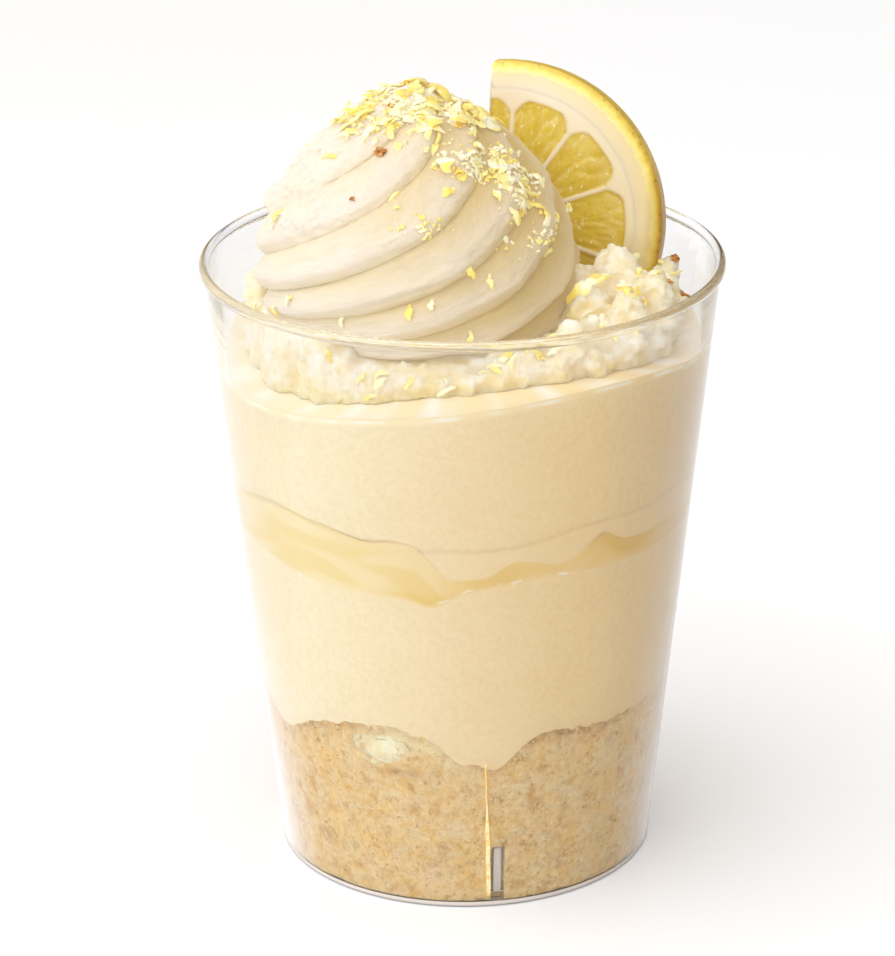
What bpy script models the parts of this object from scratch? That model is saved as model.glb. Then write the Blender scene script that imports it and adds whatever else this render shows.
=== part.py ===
# Lemon verrine in a clear tapered cup: crumb base, two layers of mousse with lemon curd between
# them, rough whipped cream, a piped swirl with zest, and a half slice of lemon.
# Metres, +Z up. The origin is the centre of the cup's foot, on the surface that it stands on.
# The side that a guest sees first looks along -Y, and angles are counted from +X towards +Y.
import math
import random

import bmesh
import bpy
from mathutils import Matrix, Vector, noise

MM = 0.001

# Colour, roughness and alpha of each material
MATERIALS = {
    "clear_plastic": ((0.95, 0.97, 0.98), 0.05, 0.35),
    "biscuit_crumb": ((0.76, 0.56, 0.32), 0.9, 1.0),
    "lemon_mousse": ((0.93, 0.83, 0.60), 0.45, 1.0),
    "lemon_curd": ((0.93, 0.77, 0.40), 0.25, 1.0),
    "whipped_cream": ((0.97, 0.91, 0.77), 0.6, 1.0),
    "lemon_peel": ((0.90, 0.72, 0.22), 0.4, 1.0)}
SHARP_ANGLE = 40.0

# Cup
CUP_HEIGHT = 93.7 * MM
FOOT_RADIUS = 28.4 * MM
WALL_TOP_RADIUS = 38.45 * MM
LIP_RADIUS = 39.0 * MM
LIP_HEIGHT = 1.7 * MM
WALL = 0.9 * MM
FOOT_RECESS = 0.9 * MM
FOOT_RING = 1.5 * MM
FLOOR = 1.1 * MM
FOOT_ROUND = 0.5 * MM
FOOT_RING_SLOPE = 0.4 * MM
INNER_CORNER = 1.0 * MM
CUP_SIDES = 64
RIB_COUNT = 3
RIB_ANGLE = -83.0
RIB_WIDTH = 1.1 * MM
RIB_DEPTH = 1.3 * MM
RIB_HEIGHT = 8.0 * MM
RIB_ROOT = 0.5 * MM

# Clearance between pieces that touch
GAP = 0.3 * MM

# Layers: a mean level, and swells as (angle in degrees, half width in degrees, height)
SIDES = 48
RINGS = 4
CRUMB_TOP = {"level": 28.4 * MM, "swells": (
    (-153, 10, -3.6 * MM), (-114, 14, 2.0 * MM), (-84, 9, -4.4 * MM), (-65, 8, 0.8 * MM),
    (20, 20, 1.2 * MM), (70, 25, -2.0 * MM), (120, 14, 1.6 * MM), (165, 12, -1.8 * MM))}
CURD_BOTTOM = {"level": 54.2 * MM, "swells": (
    (-118, 28, -2.0 * MM), (-98, 6, -1.5 * MM), (-65, 20, 1.2 * MM), (-20, 20, 1.2 * MM),
    (60, 35, -1.4 * MM), (140, 30, 0.8 * MM))}
CURD_TOP = {"level": 58.3 * MM, "swells": (
    (-140, 30, 4.6 * MM), (-104, 9, 1.8 * MM), (-88, 9, -2.8 * MM), (-70, 8, -0.7 * MM),
    (-54, 5, 2.2 * MM), (40, 35, 1.2 * MM), (120, 30, -1.0 * MM), (175, 18, 1.0 * MM))}
MOUSSE_TOP = {"level": 81.0 * MM, "swells": (
    (-150, 40, -3.4 * MM), (-55, 35, 2.7 * MM), (100, 60, 0.6 * MM))}
CRUMB_RELIEF = 0.55 * MM
CRUMB_BANDS = 8
CRUMB_GRAIN = 4.0 * MM
CRUMB_PITTING = 0.5

# Lump of cream caught between crumbs and mousse, against the wall
POCKET_ANGLE = -113.0
POCKET_LEVEL = 27.6 * MM
POCKET_SIZE = (5.0 * MM, 3.4 * MM, 3.3 * MM)
POCKET_RELIEF = 0.5 * MM
POCKET_GRAIN = 1.7

# Piped swirl: a dome with slanting ribs, which lie nearly flat at its foot
SWIRL_CENTRE = (-6.8 * MM, -2.0 * MM)
SWIRL_FLOOR = 86.0 * MM
SWIRL_BELLY = 92.0 * MM
SWIRL_PEAK = 121.4 * MM
SWIRL_RADIUS = 24.2 * MM
SWIRL_FOOT_TAPER = 0.30
SWIRL_BULGE = 2.2
SWIRL_POINT = 0.8
SWIRL_RIBS = 9
SWIRL_RIB_DEPTH = 2.4 * MM
SWIRL_RIB_SKEW = 1.35
SWIRL_RIB_ROUND = 0.7
SWIRL_RIB_FADE = 2.4
SWIRL_RIB_THINNING = 0.3
SWIRL_CLIMB = 0.115
SWIRL_FOOT_CLIMB = 0.9
SWIRL_FOOT_REACH = 6.0
SWIRL_LEAN = 0.7
SWIRL_SIDES = 63
SWIRL_LEVELS = 17
SWIRL_LEVEL_SPREAD = 0.85

# Rough whipped cream: a bed with seeded lumps, and mounds as (x, y, radius, height)
BED_SIDES = 64
BED_RINGS = 9
BED_SEED = 11
BED_EDGE = 2.0 * MM
BED_EDGE_SLOPE = 0.5 * MM
BED_HOLLOWS = ((-88, 42, 6.5 * MM), (120, 45, 4.0 * MM))
BED_THICKNESS = 2.2 * MM
BED_THINNEST = 1.6 * MM
BED_RELIEF = 1.1 * MM
BED_GRAIN = 2.6 * MM
BED_LUMPS = 34
LUMP_INSET = (2.0 * MM, 7.0 * MM)
LUMP_RADIUS = (2.8 * MM, 4.6 * MM)
LUMP_HEIGHT = (3.0 * MM, 5.8 * MM)
LUMP_RISE_ON_RIGHT = (-15, 55, 6.5 * MM)
LUMP_STEEPNESS = 2.4
LUMP_SPREAD = 0.8
BED_MOUNDS = (
    (-22.0 * MM, -17.5 * MM, 9.5 * MM, 9.0 * MM), (-27.5 * MM, -8.0 * MM, 8.0 * MM, 9.5 * MM),
    (22.5 * MM, -4.0 * MM, 6.0 * MM, 14.0 * MM), (27.0 * MM, -8.0 * MM, 4.5 * MM, 11.5 * MM),
    (28.5 * MM, 9.0 * MM, 6.0 * MM, 8.5 * MM))

# Half slice of lemon, its yaw and lean in degrees
LEMON_CENTRE = Vector((6.9, 12.0, 95.3)) * MM
LEMON_RADIUS = 23.9 * MM
LEMON_THICKNESS = 4.6 * MM
LEMON_CUT_OFFSET = 3.0 * MM
LEMON_YAW = 13.0
LEMON_LEAN = 11.0
LEMON_PULP_RADIUS = 18.3 * MM
LEMON_PULP_SINK = 0.35 * MM
LEMON_PULP_STEP = 0.5 * MM
LEMON_ROUND = 0.6 * MM
LEMON_STEPS = 30

# Zest: bands of depth below the peak, and ranges of angle in degrees
ZEST_SEED = 5
ZEST_LENGTH = (1.9 * MM, 3.6 * MM)
ZEST_WIDTH = 1.0 * MM
ZEST_WIDTHS = (0.75, 1.2)
ZEST_THICKNESS = 0.55 * MM
ZEST_SUNK = 0.45
ZEST_BEND = 0.35
ZEST_ON_PEAK = 26
PEAK_BAND = (0.8 * MM, 7.2 * MM)
PEAK_TURN = 137.5
ZEST_ON_FLANK = 12
FLANK_BAND = (8.0 * MM, 23.0 * MM)
FRONT_SPILL = (-85.0, -25.0)
FLANK_SPILL = (-150.0, 80.0)
ZEST_ON_BED = 12
BED_SPILL = (-150.0, 40.0)
BED_SPILL_INSET = (2.5 * MM, 5.5 * MM)
ZEST_CLEARANCE = 2.2 * MM
CURL_LENGTH = 6.2 * MM
CURL_INDEX = 8


def clear_scene():
    for found in list(bpy.data.objects):
        bpy.data.objects.remove(found, do_unlink=True)


def make_material(name):
    colour, roughness, alpha = MATERIALS[name]
    material = bpy.data.materials.new(name)
    material.use_nodes = True
    shader = material.node_tree.nodes["Principled BSDF"]
    shader.inputs["Base Color"].default_value = (*colour, 1.0)
    shader.inputs["Roughness"].default_value = roughness
    shader.inputs["Metallic"].default_value = 0.0
    shader.inputs["Alpha"].default_value = alpha
    return material


def smooth_mesh(mesh):
    mesh.shade_smooth()
    mesh.set_sharp_from_angle(angle=math.radians(SHARP_ANGLE))


def make_object(name, vertices, faces, material):
    mesh = bpy.data.meshes.new(name)
    mesh.from_pydata([tuple(vertex) for vertex in vertices], [], faces)
    mesh.update()
    made = bpy.data.objects.new(name, mesh)
    bpy.context.scene.collection.objects.link(made)
    if material:
        mesh.materials.append(material)
    smooth_mesh(mesh)
    return made


def turn_between(angle, centre):
    """Shortest turn from centre to angle, in degrees."""
    return (angle - centre + 180.0) % 360.0 - 180.0


def wall_radius(z):
    """Outer radius of the cup's plain wall."""
    return FOOT_RADIUS + (WALL_TOP_RADIUS - FOOT_RADIUS) * z / CUP_HEIGHT


def food_radius(z):
    """Radius of what fills the cup, a gap away from the inside of the wall."""
    return wall_radius(z) - WALL - GAP


def layer_height(layer, x, y):
    """Height of a wavy boundary between two layers, flatter towards the middle."""
    angle = math.degrees(math.atan2(y, x))
    height = sum(rise * math.exp(-(turn_between(angle, centre) / width) ** 2)
                 for centre, width, rise in layer["swells"])
    reach = min(1.0, math.hypot(x, y) / food_radius(layer["level"]))
    return layer["level"] + height * reach ** 2


def polar_point(angle_step, sides, radius):
    turn = math.tau * angle_step / sides
    return radius * math.cos(turn), radius * math.sin(turn)


def ring_faces(first, second, sides):
    """Quads between two rings of vertices that start at the given indices."""
    return [(first + i, first + (i + 1) % sides, second + (i + 1) % sides, second + i)
            for i in range(sides)]


def disc_grid(sides, rings, radius_at, height_at):
    """Vertices and upward faces of a round field: its outermost ring comes last."""
    vertices = [(0.0, 0.0, height_at(0.0, 0.0))]
    faces = []
    for ring in range(1, rings + 1):
        for i in range(sides):
            x, y = polar_point(i, sides, radius_at(i) * ring / rings)
            vertices.append((x, y, height_at(x, y)))
    for i in range(sides):
        faces.append((0, 1 + i, 1 + (i + 1) % sides))
    for ring in range(1, rings):
        inner = 1 + (ring - 1) * sides
        for a, b, c, d in ring_faces(inner, inner + sides, sides):
            faces.append((a, d, c, b))
    return vertices, faces


def close_between(low, high, sides):
    """One closed body from a lower and an upper field, joined by a band of quads."""
    low_vertices, low_faces = low
    high_vertices, high_faces = high
    shift = len(low_vertices)
    vertices = low_vertices + high_vertices
    faces = [tuple(reversed(face)) for face in low_faces]
    faces += [tuple(index + shift for index in face) for face in high_faces]
    faces += ring_faces(shift - sides, len(vertices) - sides, sides)
    return vertices, faces


def height_on_wall(layer, step, raised=0.0):
    """Height of a boundary at the wall, in one of the directions of the grid."""
    x, y = polar_point(step, SIDES, food_radius(layer["level"]))
    return layer_height(layer, x, y) + raised


def layer_field(layer, raised):
    return disc_grid(
        SIDES, RINGS,
        lambda i: food_radius(height_on_wall(layer, i, raised)),
        lambda x, y: layer_height(layer, x, y) + raised)


def fill_layer(name, bottom, top, material):
    """A layer between two boundaries, resting a gap above the lower one."""
    vertices, faces = close_between(layer_field(bottom, GAP), layer_field(top, 0.0), SIDES)
    return make_object(name, vertices, faces, material)


def baked_copy(source):
    """Mesh of an object as its modifiers make it."""
    depsgraph = bpy.context.evaluated_depsgraph_get()
    return bpy.data.meshes.new_from_object(source.evaluated_get(depsgraph))


def apply_modifiers(target):
    mesh = baked_copy(target)
    target.modifiers.clear()
    target.data = mesh


def keep_largest_piece(target):
    """Drops the loose scraps that a cut can leave."""
    work = bmesh.new()
    work.from_mesh(target.data)
    left = set(work.verts)
    pieces = []
    while left:
        piece = {left.pop()}
        front = list(piece)
        while front:
            for edge in front.pop().link_edges:
                for vertex in edge.verts:
                    if vertex in left:
                        left.remove(vertex)
                        piece.add(vertex)
                        front.append(vertex)
        pieces.append(piece)
    largest = max(pieces, key=len)
    scraps = [vertex for vertex in work.verts if vertex not in largest]
    bmesh.ops.delete(work, geom=scraps, context="VERTS")
    work.to_mesh(target.data)
    work.free()


def cut(target, cutter, solver="EXACT"):
    """Cuts the target round a cutter and keeps one body."""
    cutter.hide_render = True
    cutter.display_type = "WIRE"
    boolean = target.modifiers.new("cut round " + cutter.name, "BOOLEAN")
    boolean.operation = "DIFFERENCE"
    boolean.solver = solver
    boolean.object = cutter
    apply_modifiers(target)
    keep_largest_piece(target)


def fuse(target, pieces, solver="EXACT"):
    """Joins small pieces to the target with one union, then removes them."""
    if not pieces:
        return
    group = bpy.data.collections.new(target.name + " toppings")
    bpy.context.scene.collection.children.link(group)
    for piece in pieces:
        bpy.context.scene.collection.objects.unlink(piece)
        group.objects.link(piece)
    boolean = target.modifiers.new("fuse toppings", "BOOLEAN")
    boolean.operation = "UNION"
    boolean.solver = solver
    boolean.operand_type = "COLLECTION"
    boolean.collection = group
    apply_modifiers(target)
    for piece in pieces:
        bpy.data.objects.remove(piece, do_unlink=True)
    bpy.data.collections.remove(group)
    keep_largest_piece(target)


# Cup

def cup_profile():
    """Radius and height of the cup's section, from the axis underneath to the axis inside."""
    floor_top = FOOT_RECESS + FLOOR
    lip_low = CUP_HEIGHT - LIP_HEIGHT
    points = [(0.0, FOOT_RECESS), (FOOT_RADIUS - FOOT_RING - FOOT_RING_SLOPE, FOOT_RECESS),
              (FOOT_RADIUS - FOOT_RING, 0.0), (FOOT_RADIUS - FOOT_ROUND, 0.0),
              (wall_radius(FOOT_ROUND), FOOT_ROUND), (wall_radius(lip_low), lip_low)]
    bead_middle = CUP_HEIGHT - LIP_HEIGHT / 2
    bead_half = LIP_HEIGHT / 2
    inner_top = wall_radius(CUP_HEIGHT) - WALL
    bead_centre = (LIP_RADIUS + inner_top) / 2
    bead_reach = (LIP_RADIUS - inner_top) / 2
    for degrees in (-45, 0, 45, 90, 135):
        turn = math.radians(degrees)
        points.append((bead_centre + bead_reach * math.cos(turn),
                       bead_middle + bead_half * math.sin(turn)))
    points += [(wall_radius(lip_low) - WALL, lip_low),
               (wall_radius(floor_top + INNER_CORNER) - WALL, floor_top + INNER_CORNER),
               (wall_radius(floor_top) - WALL - INNER_CORNER, floor_top), (0.0, floor_top)]
    return points


def turned_body(name, profile, sides, material):
    """Spins a section whose first and last points lie on the axis."""
    work = bmesh.new()
    points = [work.verts.new((radius, 0.0, z)) for radius, z in profile]
    edges = [work.edges.new(pair) for pair in zip(points, points[1:])]
    bmesh.ops.spin(work, geom=points + edges, cent=(0.0, 0.0, 0.0), axis=(0.0, 0.0, 1.0),
                   angle=math.tau, steps=sides, use_merge=True)
    bmesh.ops.remove_doubles(work, verts=work.verts, dist=0.001 * MM)
    bmesh.ops.recalc_face_normals(work, faces=work.faces)
    body = make_object(name, [], [], material)
    work.to_mesh(body.data)
    work.free()
    smooth_mesh(body.data)
    return body


def stacking_rib(index, grown=0.0):
    """Short upright rib inside the wall, on the floor: grown by the gap it cuts the crumbs."""
    floor_top = FOOT_RECESS + FLOOR
    low, high = floor_top - RIB_ROOT, floor_top + RIB_HEIGHT + grown
    half = RIB_WIDTH / 2 + grown
    vertices = []
    for z in (low, high):
        inner = wall_radius(z) - WALL - RIB_DEPTH - grown
        outer = wall_radius(z) - WALL / 2 + grown
        for radius, side in ((inner, -half), (outer, -half), (outer, half), (inner, half)):
            vertices.append((radius, side, z))
    faces = [(3, 2, 1, 0), (4, 5, 6, 7), (0, 1, 5, 4), (1, 2, 6, 5), (2, 3, 7, 6), (3, 0, 4, 7)]
    rib = make_object(f"rib_{index}", vertices, faces, None)
    rib.data.transform(Matrix.Rotation(math.radians(RIB_ANGLE + 360.0 / RIB_COUNT * index), 4, "Z"))
    return rib


def build_cup():
    cup = turned_body("cup", cup_profile(), CUP_SIDES, make_material("clear_plastic"))
    fuse(cup, [stacking_rib(index) for index in range(RIB_COUNT)])
    return cup


# Crumb base and layers

def build_crumb():
    """Crumb base with a grainy side, cut round the cup's ribs."""
    floor_top = FOOT_RECESS + FLOOR + GAP
    corner = INNER_CORNER + GAP
    vertices = [(0.0, 0.0, floor_top)]
    for i in range(SIDES):
        x, y = polar_point(i, SIDES, food_radius(floor_top) - corner)
        vertices.append((x, y, floor_top))
    faces = [(0, 1 + (i + 1) % SIDES, 1 + i) for i in range(SIDES)]
    for band in range(CRUMB_BANDS):
        for i in range(SIDES):
            top = height_on_wall(CRUMB_TOP, i)
            z = floor_top + corner + (top - floor_top - corner) * band / CRUMB_BANDS
            x, y = polar_point(i, SIDES, food_radius(z))
            grain = noise.noise(Vector((x, y, z)) / CRUMB_GRAIN) + CRUMB_PITTING
            sink = CRUMB_RELIEF * max(0.0, grain)
            x, y = polar_point(i, SIDES, food_radius(z) - sink)
            vertices.append((x, y, z))
        faces += ring_faces(1 + band * SIDES, 1 + (band + 1) * SIDES, SIDES)
    top_vertices, top_faces = layer_field(CRUMB_TOP, 0.0)
    shift = len(vertices)
    vertices += top_vertices
    faces += [tuple(index + shift for index in face) for face in top_faces]
    faces += ring_faces(shift - SIDES, len(vertices) - SIDES, SIDES)
    crumb = make_object("crumb_base", vertices, faces, make_material("biscuit_crumb"))
    for index in range(RIB_COUNT):
        cutter = stacking_rib(index, GAP)
        cut(crumb, cutter)
        bpy.data.objects.remove(cutter, do_unlink=True)
    return crumb


def pocket_blob(name, grown, material):
    """Lumpy round body against the wall, at the top of the crumbs."""
    work = bmesh.new()
    bmesh.ops.create_icosphere(work, subdivisions=2, radius=1.0)
    half_width, half_depth, half_height = POCKET_SIZE
    centre_radius = food_radius(POCKET_LEVEL) - half_depth
    turn = Matrix.Rotation(math.radians(POCKET_ANGLE), 4, "Z")
    for vertex in work.verts:
        swell = POCKET_RELIEF * noise.noise(vertex.co * POCKET_GRAIN)
        size = Vector((half_depth, half_width, half_height)) + Vector((1, 1, 1)) * (swell + grown)
        place = Vector(a * b for a, b in zip(vertex.co, size))
        place += Vector((centre_radius, 0.0, POCKET_LEVEL))
        vertex.co = turn @ place
        reach = math.hypot(vertex.co.x, vertex.co.y)
        limit = food_radius(vertex.co.z) + grown
        if reach > limit:
            vertex.co.x *= limit / reach
            vertex.co.y *= limit / reach
    mesh = bpy.data.meshes.new(name)
    work.to_mesh(mesh)
    work.free()
    if material:
        mesh.materials.append(material)
    blob = bpy.data.objects.new(name, mesh)
    bpy.context.scene.collection.objects.link(blob)
    mesh.shade_smooth()
    return blob


def build_layers():
    mousse = make_material("lemon_mousse")
    lower = fill_layer("mousse_lower", CRUMB_TOP, CURD_BOTTOM, mousse)
    fill_layer("lemon_curd", CURD_BOTTOM, CURD_TOP, make_material("lemon_curd"))
    upper = fill_layer("mousse_upper", CURD_TOP, MOUSSE_TOP, mousse)
    return lower, upper


# Piped swirl

def swirl_radius(z):
    """Radius of the swirl's dome without its ribs."""
    if z < SWIRL_BELLY:
        return SWIRL_RADIUS - SWIRL_FOOT_TAPER * (SWIRL_BELLY - z)
    rise = min(1.0, (z - SWIRL_BELLY) / (SWIRL_PEAK - SWIRL_BELLY))
    return SWIRL_RADIUS * (1.0 - rise ** SWIRL_BULGE) ** SWIRL_POINT


def rib_climb(z):
    """How many ribs a fixed place on the dome has passed at a height, and how near the foot it is."""
    height = (z - SWIRL_FLOOR) / MM
    foot = math.exp(-height / SWIRL_FOOT_REACH)
    return SWIRL_CLIMB * height + SWIRL_FOOT_CLIMB * (1.0 - foot), foot


def column_angle(column, z):
    """Angle of a column of the dome's net, which follows the ribs: flat at the foot, then steep."""
    climb, foot = rib_climb(z)
    wanted = SWIRL_RIBS * column / SWIRL_SIDES + climb
    from_front = math.tau * wanted / SWIRL_RIBS
    for _ in range(12):
        found = SWIRL_RIBS * from_front / math.tau - SWIRL_LEAN * foot * math.sin(from_front)
        from_front += (wanted - found) * math.tau / SWIRL_RIBS
    return from_front - 0.5 * math.pi


def rib_shape(column):
    """Rounded rib between sharp valleys, 0 in a valley and 1 on a crest, steeper underneath."""
    share = (SWIRL_RIBS * column / SWIRL_SIDES) % 1.0
    return math.sin(math.pi * share ** SWIRL_RIB_SKEW) ** SWIRL_RIB_ROUND


def swirl_point(column, z, grown=0.0):
    radius = swirl_radius(z)
    rise = max(0.0, (z - SWIRL_BELLY) / (SWIRL_PEAK - SWIRL_BELLY))
    depth = SWIRL_RIB_DEPTH * (1.0 - SWIRL_RIB_THINNING * rise)
    depth *= min(1.0, SWIRL_RIB_FADE * radius / SWIRL_RADIUS)
    reach = max(0.0, radius - depth * (1.0 - rib_shape(column))) + grown
    turn = column_angle(column, z)
    return (SWIRL_CENTRE[0] + reach * math.cos(turn), SWIRL_CENTRE[1] + reach * math.sin(turn), z)


def swirl_mesh(name, grown, material):
    """The swirl as rings of columns; grown, it is the hollow that the rough cream leaves."""
    heights = [SWIRL_FLOOR + (SWIRL_PEAK - SWIRL_FLOOR)
               * math.sin(0.5 * math.pi * level / SWIRL_LEVELS) ** SWIRL_LEVEL_SPREAD
               for level in range(SWIRL_LEVELS)]
    rings = [[swirl_point(column, z, grown) for column in range(SWIRL_SIDES)] for z in heights]
    if grown:
        rings.insert(0, [(x, y, z - grown) for x, y, z in rings[0]])
    vertices = [(*SWIRL_CENTRE, SWIRL_FLOOR - grown)]
    for ring in rings:
        vertices += ring
    vertices.append((*SWIRL_CENTRE, SWIRL_PEAK + grown))
    last = len(vertices) - 1
    faces = [(0, 1 + (i + 1) % SWIRL_SIDES, 1 + i) for i in range(SWIRL_SIDES)]
    for band in range(len(rings) - 1):
        low = 1 + band * SWIRL_SIDES
        for a, b, c, d in ring_faces(low, low + SWIRL_SIDES, SWIRL_SIDES):
            faces += [(a, b, d), (b, c, d)]
    top = last - SWIRL_SIDES
    faces += [(last, top + i, top + (i + 1) % SWIRL_SIDES) for i in range(SWIRL_SIDES)]
    return make_object(name, vertices, faces, material)


# Rough whipped cream

def bed_reach(angle):
    """How far out the rough cream lies: back from the wall at the front, close to it elsewhere."""
    hollow = sum(depth * math.exp(-(turn_between(angle, centre) / width) ** 2)
                 for centre, width, depth in BED_HOLLOWS)
    return food_radius(MOUSSE_TOP["level"]) - BED_EDGE - hollow


def bed_lumps():
    """Lumps as (x, y, radius, height above the mousse): high at the right, low at the back."""
    draw = random.Random(BED_SEED)
    lumps = list(BED_MOUNDS)
    centre, width, rise = LUMP_RISE_ON_RIGHT
    for index in range(BED_LUMPS):
        angle = 360.0 * (index + draw.random()) / BED_LUMPS - 180.0
        radius = bed_reach(angle) - draw.uniform(*LUMP_INSET)
        height = rise * math.exp(-(turn_between(angle, centre) / width) ** 2)
        height += draw.uniform(*LUMP_HEIGHT)
        turn = math.radians(angle)
        lumps.append((radius * math.cos(turn), radius * math.sin(turn),
                      draw.uniform(*LUMP_RADIUS), height))
    return lumps


def bed_height(x, y, lumps):
    """Top of the rough cream: lumps with fine torn relief over a thin bed."""
    base = layer_height(MOUSSE_TOP, x, y) + GAP
    rise = BED_THICKNESS
    for centre_x, centre_y, radius, height in lumps:
        away = math.hypot(x - centre_x, y - centre_y) / radius
        rise = max(rise, height * math.exp(-LUMP_SPREAD * away ** LUMP_STEEPNESS))
    torn = BED_RELIEF * noise.noise(Vector((x, y, 0.0)) / BED_GRAIN)
    return base + max(BED_THINNEST, rise + torn)


def build_bed(material):
    lumps = bed_lumps()

    def reach(i):
        return bed_reach(360.0 * i / BED_SIDES)

    low = disc_grid(BED_SIDES, BED_RINGS, reach, lambda x, y: layer_height(MOUSSE_TOP, x, y) + GAP)
    high = disc_grid(BED_SIDES, BED_RINGS, lambda i: reach(i) - BED_EDGE_SLOPE,
                     lambda x, y: bed_height(x, y, lumps))
    vertices, faces = close_between(low, high, BED_SIDES)
    return make_object("rough_cream", vertices, faces, material), lumps


# Half slice of lemon

def lemon_outline(radius, cut_offset):
    """Outline of a slice cut a little past its middle, counter-clockwise, as (across, up)."""
    half = math.acos(-cut_offset / radius)
    turns = [half * (2 * step / LEMON_STEPS - 1) for step in range(LEMON_STEPS + 1)]
    return [(radius * math.cos(turn), radius * math.sin(turn)) for turn in turns]


def lemon_frame():
    """Directions across, up and out of the slice's face."""
    yaw, lean = math.radians(LEMON_YAW), math.radians(LEMON_LEAN)
    across = Vector((math.cos(yaw), -math.sin(yaw), 0.0))
    away = Vector((math.sin(yaw), math.cos(yaw), 0.0))
    up = away * math.sin(lean) + Vector((0.0, 0.0, 1.0)) * math.cos(lean)
    return across, up, across.cross(up)


def lemon_mesh(name, grown, material):
    """Slice with a rounded rind edge, its pulp a little lower than the pith on both faces."""
    across, up, facing = lemon_frame()
    half = LEMON_THICKNESS / 2 + grown
    if grown:
        sections = [(LEMON_RADIUS + grown, half), (LEMON_RADIUS + grown, -half)]
    else:
        sections = [(LEMON_PULP_RADIUS - LEMON_PULP_STEP, half - LEMON_PULP_SINK),
                    (LEMON_PULP_RADIUS, half), (LEMON_RADIUS - LEMON_ROUND, half),
                    (LEMON_RADIUS, half - LEMON_ROUND), (LEMON_RADIUS, -half + LEMON_ROUND),
                    (LEMON_RADIUS - LEMON_ROUND, -half), (LEMON_PULP_RADIUS, -half),
                    (LEMON_PULP_RADIUS - LEMON_PULP_STEP, -half + LEMON_PULP_SINK)]
    offset = LEMON_CUT_OFFSET + grown
    count = LEMON_STEPS + 1
    vertices = []
    for radius, depth in sections:
        for w, u in lemon_outline(radius, offset):
            vertices.append(LEMON_CENTRE + across * w + up * u + facing * depth)
    faces = []
    for band in range(len(sections) - 1):
        first, second = band * count, (band + 1) * count
        faces += [(first + i, second + i, second + i + 1, first + i + 1)
                  for i in range(LEMON_STEPS)]
    last = (len(sections) - 1) * count
    faces.append(tuple(range(count)))
    faces.append(tuple(reversed(range(last, last + count))))
    ends = [band * count for band in range(len(sections))]
    for band in range(len(sections) - 1):
        faces.append((ends[band] + LEMON_STEPS, ends[band + 1] + LEMON_STEPS,
                      ends[band + 1], ends[band]))
    slice_object = make_object(name, vertices, faces, material)
    work = bmesh.new()
    work.from_mesh(slice_object.data)
    bmesh.ops.recalc_face_normals(work, faces=work.faces)
    bmesh.ops.triangulate(work, faces=work.faces)
    work.to_mesh(slice_object.data)
    work.free()
    return slice_object


# Zest

def zest_bit(place, facing, draw, length):
    """Small bent strip lying on a surface, with part of its thickness sunk into it."""
    heading = facing.orthogonal().normalized()
    heading.rotate(Matrix.Rotation(draw.uniform(0.0, math.tau), 3, facing))
    side = facing.cross(heading)
    half_width = ZEST_WIDTH / 2 * draw.uniform(*ZEST_WIDTHS)
    low, high = -ZEST_THICKNESS * ZEST_SUNK, ZEST_THICKNESS * (1.0 - ZEST_SUNK)
    vertices = []
    for share in (-0.5, -0.17, 0.17, 0.5):
        curve = ZEST_BEND * length * (0.13 - share * share)
        width = half_width * (1.0 - 0.9 * share * share)
        centre = place + heading * (length * share) + facing * curve
        for w, h in ((-width, low), (width, low), (width, high), (-width, high)):
            vertices.append(centre + side * w + facing * h)
    faces = [(0, 3, 2, 1), (12, 13, 14, 15)]
    for step in range(3):
        first = step * 4
        faces += [(first + i, first + (i + 1) % 4, first + 4 + (i + 1) % 4, first + 4 + i)
                  for i in range(4)]
    bit = make_object("zest", vertices, faces, None)
    work = bmesh.new()
    work.from_mesh(bit.data)
    bmesh.ops.recalc_face_normals(work, faces=work.faces)
    work.to_mesh(bit.data)
    work.free()
    return bit


def swirl_facing(column, z):
    """Outward direction of the dome at a place on it."""
    step = 0.5 * MM
    slope = (swirl_radius(z + step) - swirl_radius(z - step)) / (2 * step)
    turn = column_angle(column, z)
    return Vector((math.cos(turn), math.sin(turn), -slope)).normalized()


def column_near(angle, z):
    """The column that passes closest to an angle at a height."""
    def away(column):
        return abs(turn_between(math.degrees(column_angle(column, z)), angle))
    return min(range(SWIRL_SIDES), key=away)


def swirl_zest(draw):
    """Dense over the peak, with a spill down the right of the front and a few on the flanks."""
    bits = []
    places = []
    for index in range(ZEST_ON_PEAK):
        angle = PEAK_TURN * index + 36.0 * draw.random()
        below = PEAK_BAND[0] + (PEAK_BAND[1] - PEAK_BAND[0]) * (index + 1) / ZEST_ON_PEAK
        places.append((angle, SWIRL_PEAK - below))
    for index in range(ZEST_ON_FLANK):
        angle = draw.uniform(*(FRONT_SPILL if index % 3 else FLANK_SPILL))
        below = FLANK_BAND[0] + (FLANK_BAND[1] - FLANK_BAND[0]) * (index + 0.5) / ZEST_ON_FLANK
        places.append((angle, SWIRL_PEAK - below))
    for angle, z in places:
        column = column_near(angle, z)
        place = Vector(swirl_point(column, z))
        bits.append(zest_bit(place, swirl_facing(column, z), draw, draw.uniform(*ZEST_LENGTH)))
    return bits


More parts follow.
